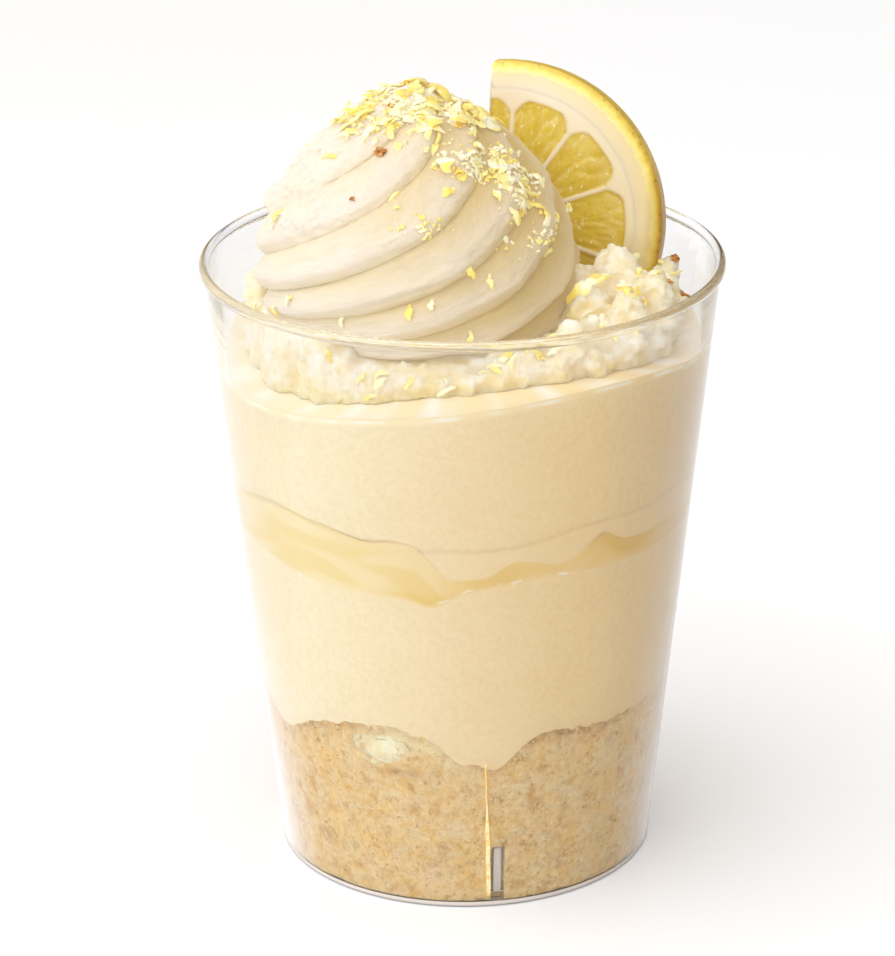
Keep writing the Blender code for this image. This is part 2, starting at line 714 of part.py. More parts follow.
def bed_zest(draw, lumps):
    """Scattered over the rough cream at the front and the right, with one long curl."""
    bits = []
    for index in range(ZEST_ON_BED):
        share = (index + draw.random()) / ZEST_ON_BED
        angle = BED_SPILL[0] + (BED_SPILL[1] - BED_SPILL[0]) * share
        radius = bed_reach(angle) - draw.uniform(*BED_SPILL_INSET)
        x, y = radius * math.cos(math.radians(angle)), radius * math.sin(math.radians(angle))
        if math.hypot(x - SWIRL_CENTRE[0], y - SWIRL_CENTRE[1]) < SWIRL_RADIUS + ZEST_CLEARANCE:
            continue
        place = Vector((x, y, bed_height(x, y, lumps)))
        length = CURL_LENGTH if index == CURL_INDEX else draw.uniform(*ZEST_LENGTH)
        bits.append(zest_bit(place, Vector((0.0, 0.0, 1.0)), draw, length))
    return bits


def main():
    clear_scene()
    build_cup()
    crumb = build_crumb()
    lower, upper = build_layers()

    cream = make_material("whipped_cream")
    pocket_blob("cream_pocket", 0.0, cream)
    pocket_cutter = pocket_blob("pocket_cutter", GAP, None)
    for piece in (crumb, lower):
        cut(piece, pocket_cutter)

    lemon_mesh("lemon_slice", 0.0, make_material("lemon_peel"))
    lemon_cutter = lemon_mesh("lemon_cutter", GAP, None)

    swirl = swirl_mesh("cream_swirl", 0.0, cream)
    swirl_cutter = swirl_mesh("swirl_cutter", GAP, None)
    bed, lumps = build_bed(cream)
    draw = random.Random(ZEST_SEED)
    fuse(swirl, swirl_zest(draw), "MANIFOLD")
    fuse(bed, bed_zest(draw, lumps), "MANIFOLD")
    cut(bed, swirl_cutter, "MANIFOLD")
    for piece in (swirl, bed, upper):
        cut(piece, lemon_cutter, "MANIFOLD")


main()
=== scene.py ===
# Lemon verrine in its clear cup: every visible surface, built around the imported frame.
# Metres, +Z up. The guest's side looks along -Y, and angles are degrees from +X towards +Y.
import math
import random

import bpy
from mathutils import Matrix, Vector, noise


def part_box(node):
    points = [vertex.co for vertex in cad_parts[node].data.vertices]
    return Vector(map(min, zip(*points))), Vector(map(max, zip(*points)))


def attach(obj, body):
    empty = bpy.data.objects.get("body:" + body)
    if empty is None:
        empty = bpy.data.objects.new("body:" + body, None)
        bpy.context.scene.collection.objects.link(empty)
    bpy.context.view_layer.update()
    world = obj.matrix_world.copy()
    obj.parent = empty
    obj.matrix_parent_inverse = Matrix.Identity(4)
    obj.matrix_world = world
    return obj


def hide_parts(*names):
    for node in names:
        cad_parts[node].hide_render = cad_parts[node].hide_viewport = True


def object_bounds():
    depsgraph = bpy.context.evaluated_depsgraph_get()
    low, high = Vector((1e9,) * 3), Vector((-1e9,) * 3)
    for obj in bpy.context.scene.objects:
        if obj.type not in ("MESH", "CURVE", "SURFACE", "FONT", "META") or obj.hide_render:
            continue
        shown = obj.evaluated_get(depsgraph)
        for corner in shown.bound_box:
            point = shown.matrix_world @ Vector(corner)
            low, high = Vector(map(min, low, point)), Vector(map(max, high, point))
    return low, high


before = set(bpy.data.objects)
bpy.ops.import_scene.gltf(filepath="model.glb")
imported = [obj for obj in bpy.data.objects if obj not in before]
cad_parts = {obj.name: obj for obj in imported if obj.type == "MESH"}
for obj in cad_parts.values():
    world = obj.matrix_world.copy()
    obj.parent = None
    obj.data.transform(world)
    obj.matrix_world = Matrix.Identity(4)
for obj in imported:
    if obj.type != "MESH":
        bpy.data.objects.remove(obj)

mm = 0.001
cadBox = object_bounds()
cupLow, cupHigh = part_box("cup")
scene = bpy.context.scene
upwards = Vector((0, 0, 1))


# Handling

def setDown():
    # object mode, nothing selected
    if bpy.context.object and bpy.context.object.mode != "OBJECT":
        bpy.ops.object.mode_set(mode="OBJECT")
    bpy.ops.object.select_all(action="DESELECT")


def pickUp(piece):
    setDown()
    piece.select_set(True)
    bpy.context.view_layer.objects.active = piece


def editOnly(piece, faceTest=None, edgeTest=None):
    # edit mode with only the faces or edges chosen by their place selected
    pickUp(piece)
    mesh = piece.data
    for parts in (mesh.vertices, mesh.edges, mesh.polygons):
        parts.foreach_set("select", [False] * len(parts))
    if faceTest:
        for face in mesh.polygons:
            face.select = faceTest(face.center, face.normal)
    if edgeTest:
        for edge in mesh.edges:
            ends = [mesh.vertices[index].co for index in edge.vertices]
            edge.select = edgeTest(*ends)
    bpy.context.tool_settings.mesh_select_mode = (False, not faceTest, bool(faceTest))
    bpy.ops.object.mode_set(mode="EDIT")


def applyPlace():
    bpy.ops.object.transform_apply(location=True, rotation=True, scale=True)


def settlePiece(piece):
    # the place goes into the mesh, and every face points outwards
    pickUp(piece)
    applyPlace()
    bpy.ops.object.mode_set(mode="EDIT")
    bpy.ops.mesh.select_all(action="SELECT")
    bpy.ops.mesh.remove_doubles(threshold=0.002 * mm)
    bpy.ops.mesh.normals_make_consistent(inside=False)
    setDown()


def dressPiece(piece, name, material, node, sharpAngle=None):
    piece.name = name
    piece.data.name = name
    piece.data.materials.clear()
    piece.data.materials.append(material)
    pickUp(piece)
    if sharpAngle:
        bpy.ops.object.shade_smooth_by_angle(angle=math.radians(sharpAngle))
    else:
        bpy.ops.object.shade_smooth()
    setDown()
    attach(piece, "root")
    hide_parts(node)
    print("made", name, len(piece.data.vertices), "points")


def addModifier(piece, kind, **values):
    pickUp(piece)
    modifier = piece.modifiers.new(kind.lower(), kind)
    for key, value in values.items():
        setattr(modifier, key, value)
    bpy.ops.object.modifier_apply(modifier=modifier.name)


def paintPoints(piece, name, values):
    layer = piece.data.attributes.new(name, "FLOAT", "POINT")
    layer.data.foreach_set("value", values)


def paintByPlace(piece, **shares):
    for name, share in shares.items():
        paintPoints(piece, name, [share(point.co) for point in piece.data.vertices])


def makeDrum(sides, rows, rings):
    # upright cylinder of radius 1 and height 1, cut into rows round its side and rings on its ends
    setDown()
    bpy.ops.mesh.primitive_cylinder_add(vertices=sides, radius=1.0, depth=1.0, location=(0, 0, 0.5))
    drum = bpy.context.object
    bpy.ops.object.transform_apply(location=True)
    if rows > 1:
        editOnly(drum, edgeTest=lambda a, b: abs(a.z - b.z) > 0.5)
        bpy.ops.mesh.subdivide(number_cuts=rows - 1)
    for up in (1, -1):
        editOnly(drum, faceTest=lambda centre, normal: normal.z * up > 0.9)
        for ring in range(rings - 1):
            bpy.ops.mesh.inset(thickness=1.0 / rings)
        bpy.ops.mesh.poke()
    setDown()
    return drum


def joinedMesh(name, points, faces, patterns):
    # one mesh of many placed copies; the patterns they were copied from go
    mesh = bpy.data.meshes.new(name)
    mesh.from_pydata([tuple(point) for point in points], [], faces)
    mesh.update()
    joined = bpy.data.objects.new(name, mesh)
    scene.collection.objects.link(joined)
    for pattern in patterns:
        bpy.data.objects.remove(pattern, do_unlink=True)
    return joined


# Measures

def angleOf(x, y):
    return math.degrees(math.atan2(y, x))


def onRing(radius, degrees):
    return radius * math.cos(math.radians(degrees)), radius * math.sin(math.radians(degrees))


def turnBetween(angle, centre):
    return (angle - centre + 180.0) % 360.0 - 180.0


def bump(away, width):
    return math.exp(-(away / width) ** 2)


def nearAngle(angle, centre, width):
    return bump(turnBetween(angle, centre), width)


def between(ends, share):
    return ends[0] + (ends[1] - ends[0]) * share


def clamped(value, low=0.0, high=1.0):
    return max(low, min(high, value))


def smoothStep(low, high, value):
    share = clamped((value - low) / (high - low))
    return share * share * (3 - 2 * share)


def grainAt(place, size):
    # soft noise from -1 to 1 with features of the given size
    return noise.noise(place / size)


def noiseAt(x, y=0.0, z=0.0):
    return noise.noise(Vector((x, y, z)))


def ruggedAt(place, size, octaves=3):
    return noise.fractal(place / size, 1.0, 2.0, octaves)


# Nodes

def feed(tree, value, socket):
    # another node's output is joined, a number or colour is set
    if hasattr(value, "is_output"):
        tree.links.new(value, socket)
    elif socket.type == "RGBA" and len(value) == 3:
        socket.default_value = (*value, 1.0)
    else:
        socket.default_value = value


def addNode(tree, kind, feeds=None, **settings):
    made = tree.nodes.new("ShaderNode" + kind)
    for key, value in settings.items():
        setattr(made, key, value)
    for key, value in (feeds or {}).items():
        feed(tree, value, made.inputs[key])
    return made


def startMaterial(name, roughness, specular=0.5):
    material = bpy.data.materials.new(name)
    material.use_nodes = True
    shader = material.node_tree.nodes["Principled BSDF"]
    shader.inputs["Roughness"].default_value = roughness
    shader.inputs["Specular IOR Level"].default_value = specular
    return material, material.node_tree, shader


def objectPlace(tree):
    return addNode(tree, "TexCoord").outputs["Object"]


def partOf(tree, vector, axis):
    return addNode(tree, "SeparateXYZ", {0: vector}).outputs[axis]


def addNoise(tree, place, size, detail=3.0, roughness=0.55, stretch=None):
    # noise with features of the given size in metres
    if stretch:
        place = addNode(tree, "Mapping", {"Vector": place, "Scale": stretch}).outputs["Vector"]
    feeds = {"Vector": place, "Scale": 1.0 / size, "Detail": detail, "Roughness": roughness}
    return addNode(tree, "TexNoise", feeds).outputs["Fac"]


def addCells(tree, place, size, output="Distance"):
    return addNode(tree, "TexVoronoi", {"Vector": place, "Scale": 1.0 / size}).outputs[output]


def cellTone(tree, place, size):
    # one random number for each cell
    return addNode(tree, "SeparateColor", {0: addCells(tree, place, size, "Color")}).outputs[0]


def addRamp(tree, factor, *stops):
    # colour ramp with stops as (position, colour or grey)
    made = addNode(tree, "ValToRGB", {"Fac": factor})
    elements = made.color_ramp.elements
    while len(elements) < len(stops):
        elements.new(0.5)
    for element, (position, colour) in zip(elements, stops):
        element.position = position
        element.color = (*colour, 1.0) if isinstance(colour, tuple) else (colour, colour, colour, 1.0)
    return made.outputs["Color"]


def addMix(tree, factor, first, second, blend="MIX"):
    # a colour mix keeps its colours in the sockets 6 and 7 and its result in the third
    made = addNode(tree, "Mix", {0: factor, 6: first, 7: second}, data_type="RGBA", blend_type=blend)
    return made.outputs[2]


def addMath(tree, operation, first, second):
    return addNode(tree, "Math", {0: first, 1: second}, operation=operation).outputs[0]


def addRange(tree, value, low, high, newLow=0.0, newHigh=1.0):
    feeds = {"Value": value, "From Min": low, "From Max": high, "To Min": newLow, "To Max": newHigh}
    return addNode(tree, "MapRange", feeds).outputs["Result"]


def addBump(tree, shader, height, strength, distance):
    made = addNode(tree, "Bump", {"Height": height, "Strength": strength, "Distance": distance})
    feed(tree, made.outputs["Normal"], shader.inputs["Normal"])


def readPaint(tree, name):
    # a value that was painted on the piece's points
    return addNode(tree, "Attribute", attribute_name=name).outputs["Fac"]


def colourIt(tree, shader, colour):
    feed(tree, colour, shader.inputs["Base Color"])


def softenInside(shader, weight, reach, spread=(1.0, 0.94, 0.86)):
    # light that wanders under the surface
    shader.inputs["Subsurface Weight"].default_value = weight
    shader.inputs["Subsurface Radius"].default_value = spread
    shader.inputs["Subsurface Scale"].default_value = reach


# Studio

studio = {
    "lens": 153.37, "place": (0.0, -0.57223, 0.28645), "clip": 0.01, "yaw": -0.2456, "pitch": 21.757,
    "roll": -0.4649, "floorSize": 6.0, "floorColour": (0.98, 0.98, 0.98), "floorMottle": 0.985,
    "mottleSize": 0.4, "floorGloss": 0.2, "bounces": 18, "keyTurn": 216.0, "keyRise": 65.0,
    "keyStrength": 0.32, "keySoftness": 40.0,
    # the walls' light from the far side to the key's side, and the light from above
    "walls": ((0.1, (0.02, 0.01, 0.0)), (0.3, (0.32, 0.22, 0.09)), (0.5, (1.02, 0.95, 0.83)),
              (0.9, (1.98, 2.04, 2.22))),
    "above": (1.22, 1.225, 1.24), "aboveFrom": 0.35, "aboveTo": 0.8}


def setCamera():
    yaw, pitch, roll = (math.radians(studio[key]) for key in ("yaw", "pitch", "roll"))
    forward = Vector((math.sin(yaw) * math.cos(pitch), math.cos(yaw) * math.cos(pitch), -math.sin(pitch)))
    right = Vector((math.cos(yaw), -math.sin(yaw), 0.0))
    up = right.cross(forward)
    turned = (right * math.cos(roll) + up * math.sin(roll),
              up * math.cos(roll) - right * math.sin(roll), -forward)
    bpy.ops.object.camera_add()
    camera = bpy.context.object
    camera.matrix_world = Matrix.Translation(studio["place"]) @ Matrix(turned).transposed().to_4x4()
    camera.data.lens = studio["lens"]
    camera.data.clip_start = studio["clip"]
    camera.data.dof.use_dof = False
    scene.camera = camera


def setFloor():
    setDown()
    bpy.ops.mesh.primitive_plane_add(size=studio["floorSize"])
    floor = bpy.context.object
    floor.name = "studioFloor"
    material, tree, shader = startMaterial("paleFloor", studio["floorGloss"], 0.3)
    patch = addNoise(tree, objectPlace(tree), studio["mottleSize"])
    low = tuple(value * studio["floorMottle"] for value in studio["floorColour"])
    colourIt(tree, shader, addRamp(tree, patch, (0.3, low), (0.7, studio["floorColour"])))
    floor.data.materials.append(material)


def setLight():
    setDown()
    turn, rise = math.radians(studio["keyTurn"]), math.radians(studio["keyRise"])
    towards = Vector((math.cos(turn) * math.cos(rise), math.sin(turn) * math.cos(rise), math.sin(rise)))
    bpy.ops.object.light_add(type="SUN", location=towards)
    key = bpy.context.object
    key.rotation_euler = towards.to_track_quat("Z", "Y").to_euler()
    key.data.energy = studio["keyStrength"]
    key.data.angle = math.radians(studio["keySoftness"])
    world = scene.world or bpy.data.worlds.new("studio")
    scene.world = world
    world.use_nodes = True
    tree = world.node_tree
    tree.nodes.clear()
    # bright from the key's side, dim from the other, even from above
    direction = addNode(tree, "TexCoord").outputs["Generated"]
    level = (math.cos(turn), math.sin(turn), 0.0)
    along = addNode(tree, "VectorMath", {0: direction, 1: level}, operation="DOT_PRODUCT").outputs["Value"]
    walls = addRamp(tree, addRange(tree, along, -1.0, 1.0), *studio["walls"])
    height = addRange(tree, partOf(tree, direction, "Z"), studio["aboveFrom"], studio["aboveTo"])
    back = addNode(tree, "Background", {"Color": addMix(tree, height, walls, studio["above"])})
    addNode(tree, "OutputWorld", {"Surface": back.outputs[0]})


setCamera()
setFloor()
setLight()
scene.view_settings.view_transform = "Standard"
# light runs a long way inside a clear wall
for kind in ("max_bounces", "transmission_bounces", "glossy_bounces"):
    setattr(scene.cycles, kind, studio["bounces"])
print("studio ready")


# Clear cup

cup = {
    "height": cupHigh.z - cupLow.z, "lipRadius": cupHigh.x, "footRadius": 28.4 * mm,
    "wallTopRadius": 38.45 * mm, "wall": 0.9 * mm, "lipHeight": 1.7 * mm, "footRecess": 0.9 * mm,
    "footRing": 1.5 * mm, "footRingSlope": 0.4 * mm, "footRound": 0.5 * mm, "floor": 1.1 * mm,
    "innerCorner": 1.0 * mm, "sides": 360, "footTurns": (-90, -67, -45, -22, 0),
    "wallShares": (0.1, 0.25, 0.5, 0.75, 1.0), "lipTurns": range(-48, 181, 12),
    "innerShares": (0.75, 0.5, 0.25), "cornerTurns": (0, -30, -60, -90), "footBand": 0.95 * mm,
    "below": 1.08 * mm, "ribs": 3, "ribAngle": -80.6, "ribWidth": 1.1 * mm, "ribDepth": 1.3 * mm,
    "ribHeight": 8.0 * mm, "ribRoot": 0.5 * mm, "ribRound": 0.3 * mm, "ribProud": 0.15 * mm,
    "ribFoot": 0.2 * mm, "sharp": 35, "roughness": 0.03, "ior": 1.49, "tint": (0.93, 0.929, 0.935),
    "ripple": 14 * mm, "rippleStretch": (1.0, 1.0, 0.35), "rippleStrength": 0.1, "rippleDepth": 0.3 * mm,
    # the haze: its colour, how it comes in where the wall turns away, and how it fades upwards
    "haze": (0.90, 0.89, 0.91), "veil": ((0.5, 0.0), (0.68, 0.3), (0.85, 0.75)), "hazeLeast": 0.25,
    "hazeFades": (34 * mm, 12 * mm), "skin": 0.2 * mm,
    # the matt foot with its painted contact shade, and the ribs
    "footTint": (0.72, 0.64, 0.56), "footContactShade": (0.36, 0.34, 0.33), "ribTint": (1.0, 0.95, 0.89),
    "frost": 0.3 * mm, "frostShade": 0.92, "contactShadeFades": (0.15 * mm, 0.5 * mm),
    "ribTintFrom": (1.2 * mm, 1.8 * mm)}
foodReach = 0.15 * mm  # what fills the cup reaches this far into its wall
floorLevel = cup["footRecess"] + cup["floor"]


def wallRadius(z):
    return cup["footRadius"] + (cup["wallTopRadius"] - cup["footRadius"]) * z / cup["height"]


def fillRadius(z):
    return wallRadius(z) - cup["wall"] + foodReach


def cupSteps():
    # radius and height of each ring, from underneath the foot over the lip to the floor inside
    foot, rounding = cup["footRadius"], cup["footRound"]
    steps = [(foot - cup["footRing"] - cup["footRingSlope"], cup["footRecess"]),
             (foot - cup["footRing"], 0.0)]
    for turn in cup["footTurns"]:
        reach = math.radians(turn)
        steps.append((wallRadius(rounding) - rounding * (1 - math.cos(reach)),
                      rounding * (1 + math.sin(reach))))
    steps.append((wallRadius(cup["footBand"]), cup["footBand"]))
    lipLow = cup["height"] - cup["lipHeight"]
    for share in cup["wallShares"]:
        z = rounding + (lipLow - rounding) * share
        steps.append((wallRadius(z), z))
    half = cup["lipHeight"] / 2
    innerTop = wallRadius(cup["height"]) - cup["wall"]
    middle, reach = (cup["lipRadius"] + innerTop) / 2, (cup["lipRadius"] - innerTop) / 2
    for turn in cup["lipTurns"]:
        angle = math.radians(turn)
        steps.append((middle + reach * math.cos(angle), cup["height"] - half + half * math.sin(angle)))
    steps.append((wallRadius(lipLow) - cup["wall"], lipLow))
    corner = cup["innerCorner"]
    for share in cup["innerShares"]:
        z = floorLevel + corner + (lipLow - floorLevel - corner) * share
        steps.append((wallRadius(z) - cup["wall"], z))
    for turn in cup["cornerTurns"]:
        angle = math.radians(turn)
        steps.append((wallRadius(floorLevel + corner) - cup["wall"] - corner * (1 - math.cos(angle)),
                      floorLevel + corner * (1 + math.sin(angle))))
    return steps


def makeRib(index):
    setDown()
    low, high = floorLevel - cup["ribRoot"], floorLevel + cup["ribHeight"]
    inner, outer = wallRadius(low) - cup["wall"] - cup["ribDepth"], wallRadius(low) - cup["wall"] / 2
    bpy.ops.mesh.primitive_cube_add(size=1.0, location=((inner + outer) / 2, 0, (low + high) / 2))
    rib = bpy.context.object
    rib.scale = (outer - inner, cup["ribWidth"], high - low)
    applyPlace()
    editOnly(rib, faceTest=lambda centre, normal: normal.z > 0.9)
    lean = wallRadius(high) - wallRadius(low)
    bpy.ops.transform.translate(value=(lean, 0, 0))
    editOnly(rib, edgeTest=lambda a, b: (a.x + b.x) / 2 < (inner + outer) / 2 and abs(a.z - b.z) > high / 2)
    bpy.ops.mesh.bevel(offset=cup["ribRound"], segments=3)
    pickUp(rib)
    rib.rotation_euler.z = math.radians(cup["ribAngle"] + 360.0 / cup["ribs"] * index)
    applyPlace()
    return rib


def plasticMaterial():
    material, tree, shader = startMaterial("clearPlastic", cup["roughness"])
    colourIt(tree, shader, cup["tint"])
    shader.inputs["Transmission Weight"].default_value = 1.0
    shader.inputs["IOR"].default_value = cup["ior"]
    ripple = addNoise(tree, objectPlace(tree), cup["ripple"], 2.0, 0.5, cup["rippleStretch"])
    addBump(tree, shader, ripple, cup["rippleStrength"], cup["rippleDepth"])
    # the plastic's sides look hazy where they turn away, most of all low down
    facing = addNode(tree, "LayerWeight", {"Blend": 0.5}).outputs["Facing"]
    hazy = addMath(tree, "MULTIPLY", addRamp(tree, facing, *cup["veil"]), readPaint(tree, "haze"))
    veil = addNode(tree, "BsdfDiffuse", {"Color": cup["haze"]})
    wall = addNode(tree, "MixShader", {0: hazy, 1: shader.outputs[0], 2: veil.outputs[0]})
    clear, path = addNode(tree, "BsdfTransparent"), addNode(tree, "LightPath")
    mix = addNode(tree, "MixShader",
                  {0: path.outputs["Is Shadow Ray"], 1: wall.outputs[0], 2: clear.outputs[0]})
    feed(tree, mix.outputs[0], tree.nodes["Material Output"].inputs["Surface"])
    return material


def footMaterial():
    # the matt ring that the cup stands on, with a painted contact shade along its bottom, and the ribs
    material, tree, shader = startMaterial("mattFoot", 0.5, 0.3)
    place = objectPlace(tree)
    height = partOf(tree, place, "Z")
    low = tuple(value * cup["frostShade"] for value in cup["footTint"])
    tinted = addRamp(tree, addNoise(tree, place, cup["frost"]), (0.3, low), (0.7, cup["footTint"]))
    tinted = addMix(tree, addRange(tree, height, *cup["ribTintFrom"]), tinted, cup["ribTint"])
    # painted contact shade: darker along the bottom of the foot, fading out half a millimetre up
    colourIt(tree, shader, addMix(tree, addRange(tree, height, *cup["contactShadeFades"]), cup["footContactShade"], tinted))
    return material


def hazeAt(place):
    # only the outside of the wall is hazy
    inside = math.hypot(place.x, place.y) < wallRadius(place.z) - cup["skin"]
    if inside or place.z > cup["height"] - cup["lipHeight"]:
        return 0.0
    return cup["hazeLeast"] + (1.0 - cup["hazeLeast"]) * smoothStep(*cup["hazeFades"], place.z)


def isMatt(centre, normal):
    # the foot and the ribs
    below = normal.z < -0.5 and centre.z < cup["below"]
    reach = wallRadius(centre.z) - cup["wall"] - cup["ribProud"]
    overFloor = centre.z - floorLevel
    onRib = math.hypot(centre.x, centre.y) < reach and cup["ribFoot"] < overFloor < cup["ribHeight"] + mm
    return below or onRib or centre.z < cup["footBand"]


def makeCup():
    steps = cupSteps()
    setDown()
    bpy.ops.mesh.primitive_circle_add(vertices=cup["sides"], radius=steps[0][0], fill_type="NGON",
                                      location=(0, 0, steps[0][1]))
    body = bpy.context.object
    bpy.ops.object.transform_apply(location=True)
    bpy.context.tool_settings.mesh_select_mode = (False, False, True)
    bpy.ops.object.mode_set(mode="EDIT")
    bpy.ops.mesh.select_all(action="SELECT")
    for (radius, z), (nextRadius, nextZ) in zip(steps, steps[1:]):
        bpy.ops.mesh.extrude_region_move(TRANSFORM_OT_translate={"value": (0, 0, nextZ - z)})
        grow = nextRadius / radius
        bpy.ops.transform.resize(value=(grow, grow, 1.0), center_override=(0, 0, nextZ))
    settlePiece(body)
    for index in range(cup["ribs"]):
        rib = makeRib(index)
        addModifier(body, "BOOLEAN", operation="UNION", solver="EXACT", object=rib)
        bpy.data.objects.remove(rib, do_unlink=True)
    dressPiece(body, "clearCup", plasticMaterial(), "cup", cup["sharp"])
    paintByPlace(body, haze=hazeAt)
    body.data.materials.append(footMaterial())
    for face in body.data.polygons:
        if isMatt(face.center, face.normal):
            face.material_index = 1


makeCup()


# Layers: a mean level, and swells as (angle, half width, rise)

crumbTop = {"level": 28.4 * mm,
            "swells": ((-151, 11, -3.9 * mm), (-114, 14, 2.0 * mm), (-91, 6, -3.4 * mm),
                       (-81, 6.5, -4.4 * mm), (-65, 8, 0.8 * mm), (20, 20, 1.2 * mm), (70, 25, -2.0 * mm),
                       (120, 14, 1.6 * mm), (165, 12, -1.8 * mm)),
            "ragged": 0.42 * mm, "raggedSize": 1.7 * mm}
curdBottom = {"level": 54.2 * mm,
              "swells": ((-118, 28, -2.0 * mm), (-98, 6, -1.8 * mm), (-65, 20, 1.2 * mm),
                         (-20, 20, 1.2 * mm), (60, 35, -1.4 * mm), (140, 30, 0.8 * mm)),
              "ragged": 0.22 * mm, "raggedSize": 3.5 * mm}
curdTop = {"level": 58.3 * mm,
           "swells": ((-140, 30, 4.6 * mm), (-104, 9, 1.8 * mm), (-95, 4, -1.7 * mm), (-88, 9, -2.8 * mm),
                      (-78, 3.5, 0.8 * mm), (-66, 6, -1.2 * mm), (-54, 5, 2.2 * mm), (40, 35, 1.2 * mm),
                      (120, 30, -1.0 * mm), (175, 18, 1.0 * mm)),
           "ragged": 0.2 * mm, "raggedSize": 3.0 * mm}
mousseTop = {"level": 81.0 * mm,
             "swells": ( (-150, 40, -3.4 * mm), (-55, 35, 2.7 * mm), (100, 60, 0.6 * mm)),
             "ragged": 0.12 * mm, "raggedSize": 5.0 * mm}
# a fold in the upper mousse, above the thin stretch of curd at the right
fold = {"level": 60.2 * mm, "swells": ((-60, 14, 1.7 * mm), (-30, 24, 2.6 * mm)), "ragged": 0.2 * mm,
        "raggedSize": 4.0 * mm, "from": -106.0, "to": -8.0, "fades": (6, 10), "depth": 0.16 * mm,
        "width": 0.32 * mm, "ledge": 0.07 * mm, "ledgeBlur": 0.2 * mm}
# cracks under the upper mousse at the left, as (middle, half width, strength)
cracks = ((-146, 6, 0.4), (-115, 9, 0.75), (176, 14, 0.6), (95, 12, 0.5), (40, 10, 0.4))
crack = {"depth": 0.4 * mm, "width": 0.25 * mm, "below": 1 * mm}


def layerHeight(layer, x, y):
    angle = angleOf(x, y)
    rise = sum(height * nearAngle(angle, centre, width) for centre, width, height in layer["swells"])
    share = min(1.0, math.hypot(x, y) / fillRadius(layer["level"]))
    ragged = layer["ragged"] * ruggedAt(Vector((x, y, layer["level"])), layer["raggedSize"])
    return layer["level"] + (rise + ragged) * share ** 2


def shapeLayer(drum, low, high, reach, crowd=1.0):
    # bends the unit drum between two heights over (x, y), inside a reach that is told the angle, the
    # height, and how far it is over the low edge and under the high one
    for point in drum.data.vertices:
        across, height = math.hypot(point.co.x, point.co.y), point.co.z
        angle = math.atan2(point.co.y, point.co.x)
        edge = fillRadius(0.055)
        for attempt in range(2):
            x, y = edge * math.cos(angle), edge * math.sin(angle)
            bottom, top = low(x, y), high(x, y)
            z = bottom + (top - bottom) * height ** crowd
            edge = reach(angle, z, z - bottom, top - z)
        if across > 0.999:
            point.co = (edge * math.cos(angle), edge * math.sin(angle), z)
        else:
            x, y = edge * across * math.cos(angle), edge * across * math.sin(angle)
            point.co = (x, y, high(x, y) if height > 0.5 else low(x, y))
    drum.data.update()


def foldStrength(degrees):
    fadeIn, fadeOut = fold["fades"]
    return (smoothStep(fold["from"], fold["from"] + fadeIn, degrees)
            * smoothStep(fold["to"], fold["to"] - fadeOut, degrees))


def crackStrength(degrees):
    return max(strength * nearAngle(degrees, middle, width) ** 0.5 for middle, width, strength in cracks)


filling = {
    # top carries a painted sheen, shade is painted shade, and glint is a painted highlight
    "pale": (0.935, 0.843, 0.605), "mid": (0.905, 0.80, 0.55), "fine": (0.84, 0.71, 0.43),
    "top": (0.985, 0.885, 0.585), "curd": (0.875, 0.725, 0.352), "deepCurd": (0.80, 0.62, 0.19),
    "shade": (0.74, 0.55, 0.28), "glint": (1.0, 0.98, 0.88), "cloud": 9 * mm, "grain": 0.9 * mm,
    "speckle": 0.55, "bump": 0.25, "curdGloss": 0.24,
    # painted shade: darker and more yellow towards the right, over X from -36 mm to 36 mm
    "across": (-36 * mm, 36 * mm),
    "rightShadeRamp": ((0.03, (0.94, 0.90, 0.83)), (0.17, (1.0, 1.0, 1.0)), (0.5, (1.0, 0.918, 0.804)),
               (0.76, (1.0, 0.873, 0.672)), (0.94, (0.885, 0.76, 0.60))),
    # the curd's soft edges as (least, wider, size of the change, from, to)
    "blurTop": (0.14 * mm, 0.2 * mm, 9 * mm, -0.2, 0.4),
    "blurBottom": (0.2 * mm, 0.45 * mm, 12 * mm, -0.3, 0.3), "curdShare": 0.60, "streaks": (3.2, 0.5),
    "paleFrom": (-0.1, 0.4), "paleBand": (1.3, 1.2, 0.35), "palest": 0.5, "paleFront": 0.3,
    "front": (-96, 0),
    # richer spots as (angle, half width, mm from the curd's edge, half height, strength)
    "pool": (-49, 9, 0.9, 1.3, 0.75), "drip": (-100, 6, 0.5, 1.2, 0.30), "thin": (-84, 12, 0.22),
    "foldTone": 0.07, "foldBlur": 0.3 * mm, "topTone": 0.2, "topShare": 0.85,
    "topFrom": (-0.6 * mm, 0.1 * mm),
    # painted glints where the thin curd runs out, and a painted highlight line along the top of the mousse
    "glintIn": (-101, -96), "glintOut": (-56, -62), "glintUp": 0.25 * mm, "glintSway": 0.15 * mm,
    "glintWidth": 0.16 * mm, "glintShare": 0.85, "lineUp": 0.2 * mm, "lineWave": 0.35 * mm,
    "lineWidth": 0.2 * mm,
    # painted shade inside the fold, the cracks and the pool
    "foldShade": (0.30, 0.28 * mm), "crackShade": (0.7, 0.05 * mm, 0.26 * mm),
    "poolShade": (-55, 3.0, 0.35 * mm, 0.9)}


def topShare(place):
    # the open top of the mousse is yellower and lighter: partly curd yellow, partly a painted sheen
    over = place[2] - layerHeight(mousseTop, place[0], place[1])
    return filling["topShare"] * smoothStep(*filling["topFrom"], over)


def blurAt(place, key):
    least, wider, size, low, high = filling[key]
    return least + wider * smoothStep(low, high, grainAt(place, size))


def spotAt(degrees, fromEdge, key):
    angle, width, middle, height, strength = filling[key]
    return strength * nearAngle(degrees, angle, width) * bump(fromEdge - middle, height)


